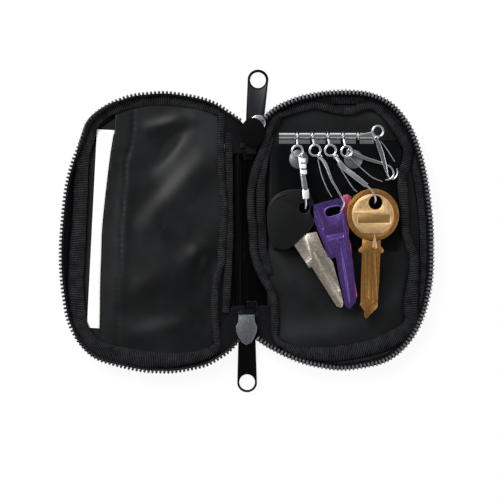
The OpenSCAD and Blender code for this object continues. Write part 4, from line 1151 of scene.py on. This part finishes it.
# sliders: shield-shaped plates over and under the chain, a post between them, an arch below for the pull tab
sliderLook = {
    # the bottom slider's grey is a painted reflection
    "bottom": {"outline": [(238.6, 315.2), (254.6, 315.2), (254.9, 321.5), (257.1, 325.6), (256.8, 331), (254.6, 337),
                           (251.2, 342), (246.5, 344.6), (241.8, 342), (238.4, 337), (236.2, 331), (235.9, 325.6),
                           (238.4, 321.5)],
               "post": (246.3, 321), "pivot": (247.0, 330.4), "turn": 0.0, "top": (6.1, 7.2), "finish": zincGreyPaintedReflection},
    # the top slider's pale metal is a painted reflection
    "top": {"outline": [(247.6, 144.6), (256.2, 145), (258.4, 140.6), (260.6, 136.5), (263.2, 131), (265.6, 124.4),
                        (265, 118.8), (261.2, 115.8), (255.6, 115.6), (250, 119), (244.6, 126), (243, 134),
                        (244.6, 140.4)],
            "post": (251, 141), "pivot": (254.0, 133.0), "turn": -4.3, "top": (6.1, 6.75), "finish": zincPaintedGlint},
}
underLook = {"share": 0.9, "low": 2.8, "high": 3.8}
archLook = {"wide": 2.0, "long": 8.4, "leg": 1.2, "low": 0.2, "high": 1.2, "legTop": 2.9}
for end, look in sliderLook.items():
    outline, post, material = look["outline"], look["post"], look["finish"]
    middle = np.array(outline).mean(0)
    lean = math.radians(look["turn"])

    def turned(x, y):
        return (look["pivot"][0] + x * math.cos(lean) - y * math.sin(lean),
                look["pivot"][1] + x * math.sin(lean) + y * math.cos(lean))

    upper = bladeShape(end + "Plate", outline, *look["top"], material, rounding=0.3, segments=3, smooth=50)
    underOutline = [tuple(middle + (np.array(p) - middle) * underLook["share"]) for p in outline]
    lower = bladeShape(end + "Under", underOutline, underLook["low"], underLook["high"], material, rounding=0.3)
    bridgeOutline = [(post[0] + x, post[1] + y) for x, y in ((-2.6, -4), (2.6, -4), (1.6, 5), (-1.6, 5))]
    bridge = bladeShape(end + "Bridge", bridgeOutline, 3.7, 6.3, material, rounding=0.15)
    lip = rodAlong(end + "Lip", lifted(outline[:2], look["top"][1] - 0.15), [0.7], [0.5], material)
    half, reach = archLook["wide"] / 2 * pxPerMm, archLook["long"] / 2 * pxPerMm
    foot = reach - archLook["leg"] * pxPerMm
    pieces = [upper, lower, bridge, lip]
    for name, y0, y1, high in (("Arch", -reach, reach, archLook["high"]), ("LegA", -reach, -foot, archLook["legTop"]),
                               ("LegB", foot, reach, archLook["legTop"])):
        strip = [turned(-half, y0), turned(half, y0), turned(half, y1), turned(-half, y1)]
        pieces.append(bladeShape(end + name, strip, archLook["low"], high, material, rounding=0.15))
    slider = joined(pieces, end + "Slider")
    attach(slider, "slider_" + end)
    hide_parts(end + "_slider")

# pull tabs: a flat tongue with a round end and hole, a slot round the arch; the face is let in, the rim left dark
tabLook = {
    "bottom": {"neck": (246.9, 329.4), "eye": (247.1, 382.6), "slot": (247.0, 336.5), "turn": 0.0, "wide": (8.4, 10.1),
               "hole": 6.7, "face": blackEnamel, "rim": blackEnamel},
    # the top tab's grey face is painted light
    "top": {"neck": (253.9, 134), "eye": (258, 79.6), "slot": (254.45, 126.9), "turn": -4.3, "wide": (8.6, 10.6),
            "hole": 6.75, "face": enamelPaintedLighter, "rim": blackEnamel},
}
faceLook = {"inset": 1.3, "holeExtra": 1.4}
for end, look in tabLook.items():
    eye, neck = np.array(look["eye"], float), np.array(look["neck"], float)
    along = (eye - neck) / np.linalg.norm(eye - neck)
    across = np.array([-along[1], along[0]])

    def tongue(shrink):
        a, b = look["wide"][0] - shrink, look["wide"][1] - shrink
        bend = np.linspace(math.radians(80), math.radians(-80), 25)
        points = [neck - across * a, neck + across * a]
        points += [eye + across * b * math.sin(w) + along * b * math.cos(w) for w in bend]
        return [tuple(p) for p in points]

    def openings(width):
        return [("round", look["eye"], (width, width, 0, 5), 0), ("box", look["slot"], (2.6, 4.35, 0, 5), look["turn"])]

    plate = bladeShape(end + "Tab", tongue(0), 1.45, 2.45, look["rim"], rounding=0.25, segments=3, smooth=50,
                       holes=openings(look["hole"]))
    face = bladeShape(end + "Face", tongue(faceLook["inset"]), 2.2, 2.55, look["face"], rounding=0.1, smooth=50,
                      holes=openings(look["hole"] + faceLook["holeExtra"]))
    tab = joined([plate, face], end + "PullTab")
    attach(tab, "tab_" + end)
    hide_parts(end + "_pull_tab")
print("sliders and tabs made")

# spring hooks: a flat strap that bends from the ring, narrows to a round curl, and a wire that shuts it
hookLook = {
    # strap: picture places and heights in mm, widths, thicknesses; curl: the thin end; gate: the spring wire;
    # wraps: steel folded round the strap: picture place, half length, lean, three heights and widths in mm
    1: {"strap": [(299.8, 157.8, 8.2), (300.9, 164, 9.1), (302.4, 175, 9.8), (304.4, 188, 10.4), (305.2, 200, 10.6)],
        "widths": [1.6, 2.0, 1.9, 2.1, 1.9], "thick": [0.8],
        "curl": [(305.2, 199, 10.6), (305.4, 205, 10.5), (305, 209, 9.6), (304.4, 210, 8.0), (304, 209.6, 5.6)],
        "gate": [(299.2, 163.6, 6.8), (301, 178, 7.2), (303.6, 196.4, 7.4)],
        "wraps": [((302.24, 161.4), 0.9, 0, (9.0, 9.3, 9.6), [2.5, 2.6, 2.5]),
                  ((302.82, 167.2), 0.9, 0, (9.3, 9.6, 9.9), [2.5, 2.6, 2.5]),
                  ((303.4, 173.0), 0.9, 0, (9.6, 9.9, 10.2), [2.5, 2.6, 2.5]),
                  ((305.2, 194.6), 2.0, 0.05, (10.4, 10.9, 11.3), [2.6, 2.8, 2.6])]},
    2: {"strap": [(319.4, 157.6, 7.75), (324, 163.4, 8.3), (327.4, 171, 8.9), (330.6, 180, 9.5), (335.6, 189, 9.9),
                  (341, 198.4, 10.3)],
        "widths": [1.1, 1.5, 1.2, 1.0, 0.9, 0.8], "thick": [0.8],
        "curl": [(341, 197.4, 10.3), (343, 203, 10.4), (341.6, 208.6, 10.2), (339.4, 211.6, 9.0), (337.6, 212.4, 7.0),
                 (336.8, 212.2, 5.6)],
        "gate": [(317.6, 160, 6.9), (321.4, 176, 7.2), (326.6, 189, 7.5), (331.4, 197.4, 7.55)]},
    3: {"strap": [(335.4, 157.6, 7.75), (339.6, 163.8, 8.4), (344.6, 169.6, 8.8), (355, 178, 9.8), (365.4, 186.3, 10.6)],
        "widths": [1.2, 1.9, 2.2, 2.2, 1.9], "thick": [0.75],
        "curl": [(364.6, 185.6, 10.6), (370.4, 191.4, 10.5), (373.8, 197.6, 10.4), (374.2, 202, 10.0), (373, 203.8, 8.6),
                 (372, 204, 6.2)],
        "gate": [(337.4, 164, 6.9), (345, 177, 7.2), (352.4, 188.4, 7.3), (356.6, 192.4, 7.35)]},
    4: {"strap": [(348.6, 151.6, 6.4), (356, 155, 6.2), (367, 159.4, 5.9), (380, 163.2, 5.6), (386, 165.4, 5.4)],
        "widths": [1.0, 1.5, 1.5, 1.3, 0.9], "thick": [0.7],
        "curl": [(385, 165, 5.4), (390, 167, 5.3), (393, 171.4, 5.3), (392.6, 176.4, 5.3), (388.8, 179.6, 5.3),
                 (385, 180.2, 5.3)],
        "gate": [(349.4, 157.4, 5.3), (360, 167.6, 5.3), (372, 177.6, 5.3), (382, 181.8, 5.3)]},
    5: {"strap": [(375.6, 139.4, 7.0), (378, 145, 6.7), (381.4, 154.6, 6.2), (384.4, 165, 5.6), (386.6, 172.6, 5.0)],
        "widths": [1.3, 2.0, 1.9, 1.7, 1.0], "thick": [0.7],
        "curl": [(386.2, 171.4, 5.1), (388.6, 177.2, 4.9), (392.4, 179.2, 4.9), (395.8, 176.8, 4.9), (397.2, 172.4, 4.9),
                 (396.6, 168.6, 4.9)],
        "gate": [(380.4, 141.4, 4.9), (387, 150, 4.9), (394.6, 161.6, 4.9)]},
}
for n, look in hookLook.items():
    body = f"key_hook_{n}"
    places = raised(look["strap"])
    ringX, ringY, ringZ = places[0]
    eyeWire = [(ringX + 0.75 * math.cos(a), ringY + 0.75 * math.sin(a), ringZ + 0.55 * math.sin(a))
               for a in np.linspace(0.2, 2 * math.pi, 14)]
    pieces = [rodAlong(f"strap{n}", places, look["widths"], look["thick"], hookSteel, square=5, sides=16),
              rodAlong(f"curl{n}", raised(look["curl"]), [0.95, 0.8, 0.7], [0.95, 0.8, 0.7], hookSteel),
              rodAlong(f"eye{n}", eyeWire, [0.8], [0.8], hookSteel, spacing=0.3)]
    for k, (place, half, lean, heights, widths) in enumerate(look.get("wraps", ())):
        x, y = spot([place])[0]
        line = [(x - lean, y + half, heights[0]), (x, y, heights[1]), (x + lean, y - half, heights[2])]
        # the wraps' paler steel is painted light
        pieces.append(rodAlong(f"wrap{k}", line, widths, [0.7], wrapSteelPaintedBright, square=8, sides=16))
    hook = joined(pieces, f"springHook{n}")
    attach(hook, body)
    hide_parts(f"hook_{n}")
    wire = [0.55, 0.6, 0.6, 0.5]
    gate = rodAlong(f"springGate{n}", raised(look["gate"]), wire, wire, hookSteel, sides=10)
    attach(gate, f"key_gate_{n}")
    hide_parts(f"gate_{n}")
print("hooks made")


# the solids that are shown as they are
finishes = {
    "spine_board": greyBoard, "card": cardBoard, "key_bar": chrome, "bar_rod": hookSteel, "rivets": rivetNickel,
    "rivet_washers": rivetNickel, "black_key_bow": bowPlastic, "black_key_blade": bladeNickel,
}
for n in range(1, 6):
    finishes[f"link_{n}"] = hookSteel
for name, material in finishes.items():
    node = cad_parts[name]
    if not node.material_slots:
        node.data.materials.append(material)
    for place in node.material_slots:
        place.material = material


studio = {"floorColour": "#FFFFFF", "floorGlow": 0.9, "worldLight": 0.5, "glossLow": 0.2, "keyWatts": 9,
          "fillWatts": 2.4}
# matt white paper, wound off a roll: it glows a little, so that it shows even white without a shadow's edge
floorMaterial, floorTree, floorShader = startMaterial("paper sweep, matte white", studio["floorColour"],
                                                      {"Roughness": 0.9, "Specular IOR Level": 0.1})
glow = addNode(floorTree, "Emission", {"Strength": 1.0})
rays = addNode(floorTree, "LightPath")
seenRays = addNode(floorTree, "Math", {0: (rays, "Is Camera Ray"), 1: (rays, "Is Glossy Ray")}, operation="MAXIMUM")
seenAll = addNode(floorTree, "Math", {0: (seenRays, 0), 1: (rays, "Is Transmission Ray")}, operation="MAXIMUM")
glowShare = addNode(floorTree, "Math", {0: (seenAll, 0), 1: studio["floorGlow"]}, operation="MULTIPLY")
floorMix = addNode(floorTree, "MixShader", {0: (glowShare, 0), 1: (floorShader, "BSDF"), 2: (glow, "Emission")})
floorTree.links.new(floorMix.outputs[0], floorTree.nodes["Material Output"].inputs["Surface"])
bpy.ops.mesh.primitive_plane_add(size=6, location=(0, 0, -0.0002))
floor = settle(bpy.context.object, "floor", floorMaterial)

# white to the camera; shiny pieces see a dark patch overhead, as under a camera, and a paler upper left
world = bpy.data.worlds.new("studio")
bpy.context.scene.world = world
world.use_nodes = True
worldTree = world.node_tree
direction = addNode(worldTree, "TexCoord")
parts = addNode(worldTree, "SeparateXYZ", {"Vector": (direction, "Generated")})
overhead = addNode(worldTree, "MapRange", {"Value": (parts, "Z"), "From Min": 0.6, "From Max": 0.9, "To Min": 1.0,
                                           "To Max": studio["glossLow"]})
towards = addNode(worldTree, "Math", {0: (parts, "Y"), 1: (parts, "X")}, operation="SUBTRACT")
paler = addNode(worldTree, "MapRange", {"Value": (towards, 0), "From Min": -0.7, "From Max": 0.6, "To Min": 0.45,
                                        "To Max": 1.0})
glossLight = addNode(worldTree, "Math", {0: (overhead, "Result"), 1: (paler, "Result")},
                     operation="MULTIPLY")
worldRays = addNode(worldTree, "LightPath")
glossy = addNode(worldTree, "Math", {0: (worldRays, "Is Glossy Ray"), 1: (glossLight, 0)}, operation="MULTIPLY")
seen = addNode(worldTree, "Math", {0: (worldRays, "Is Camera Ray"), 1: (glossy, 0)}, operation="MAXIMUM")
lit = addNode(worldTree, "Math", {0: (worldRays, "Is Diffuse Ray"), 1: studio["worldLight"]}, operation="MULTIPLY")
strength = addNode(worldTree, "Math", {0: (seen, 0), 1: (lit, 0)}, operation="MAXIMUM")
worldTree.links.new(strength.outputs[0], worldTree.nodes["Background"].inputs["Strength"])
worldTree.nodes["Background"].inputs["Color"].default_value = (1, 1, 1, 1)


def softbox(name, place, size, power):
    # an area light that faces the middle of the case
    lamp = bpy.data.lights.new(name, "AREA")
    lamp.shape = "RECTANGLE"
    lamp.size, lamp.size_y = size
    lamp.energy = power
    holder = bpy.data.objects.new(name, lamp)
    holder.location = place
    holder.rotation_euler = (-Vector(place)).to_track_quat("-Z", "Y").to_euler()
    bpy.context.scene.collection.objects.link(holder)


softbox("keyLight", (-0.45, 0.55, 0.75), (0.5, 0.5), studio["keyWatts"])
softbox("fillLight", (0.7, -0.2, 0.6), (0.6, 0.6), studio["fillWatts"])

camera = bpy.data.cameras.new("camera")
cameraHolder = bpy.data.objects.new("camera", camera)
bpy.context.scene.collection.objects.link(cameraHolder)
bpy.context.scene.camera = cameraHolder
lensMm, sensorMm = 100, 36
camera.lens = lensMm
camera.sensor_width = sensorMm
camera.clip_end = 10
pictureMiddle = 250  # half the picture's width and height in px
frameWidth = 2 * pictureMiddle / pxPerMm * mm
middleY = -(pictureMiddle - caseMiddle[1]) / pxPerMm * mm
cameraHolder.location = (0, middleY, frameWidth * lensMm / sensorMm + 4 * mm)
cameraHolder.rotation_euler = (0, 0, 0)

bpy.context.scene.view_settings.view_transform = "Standard"
print("scene ready")
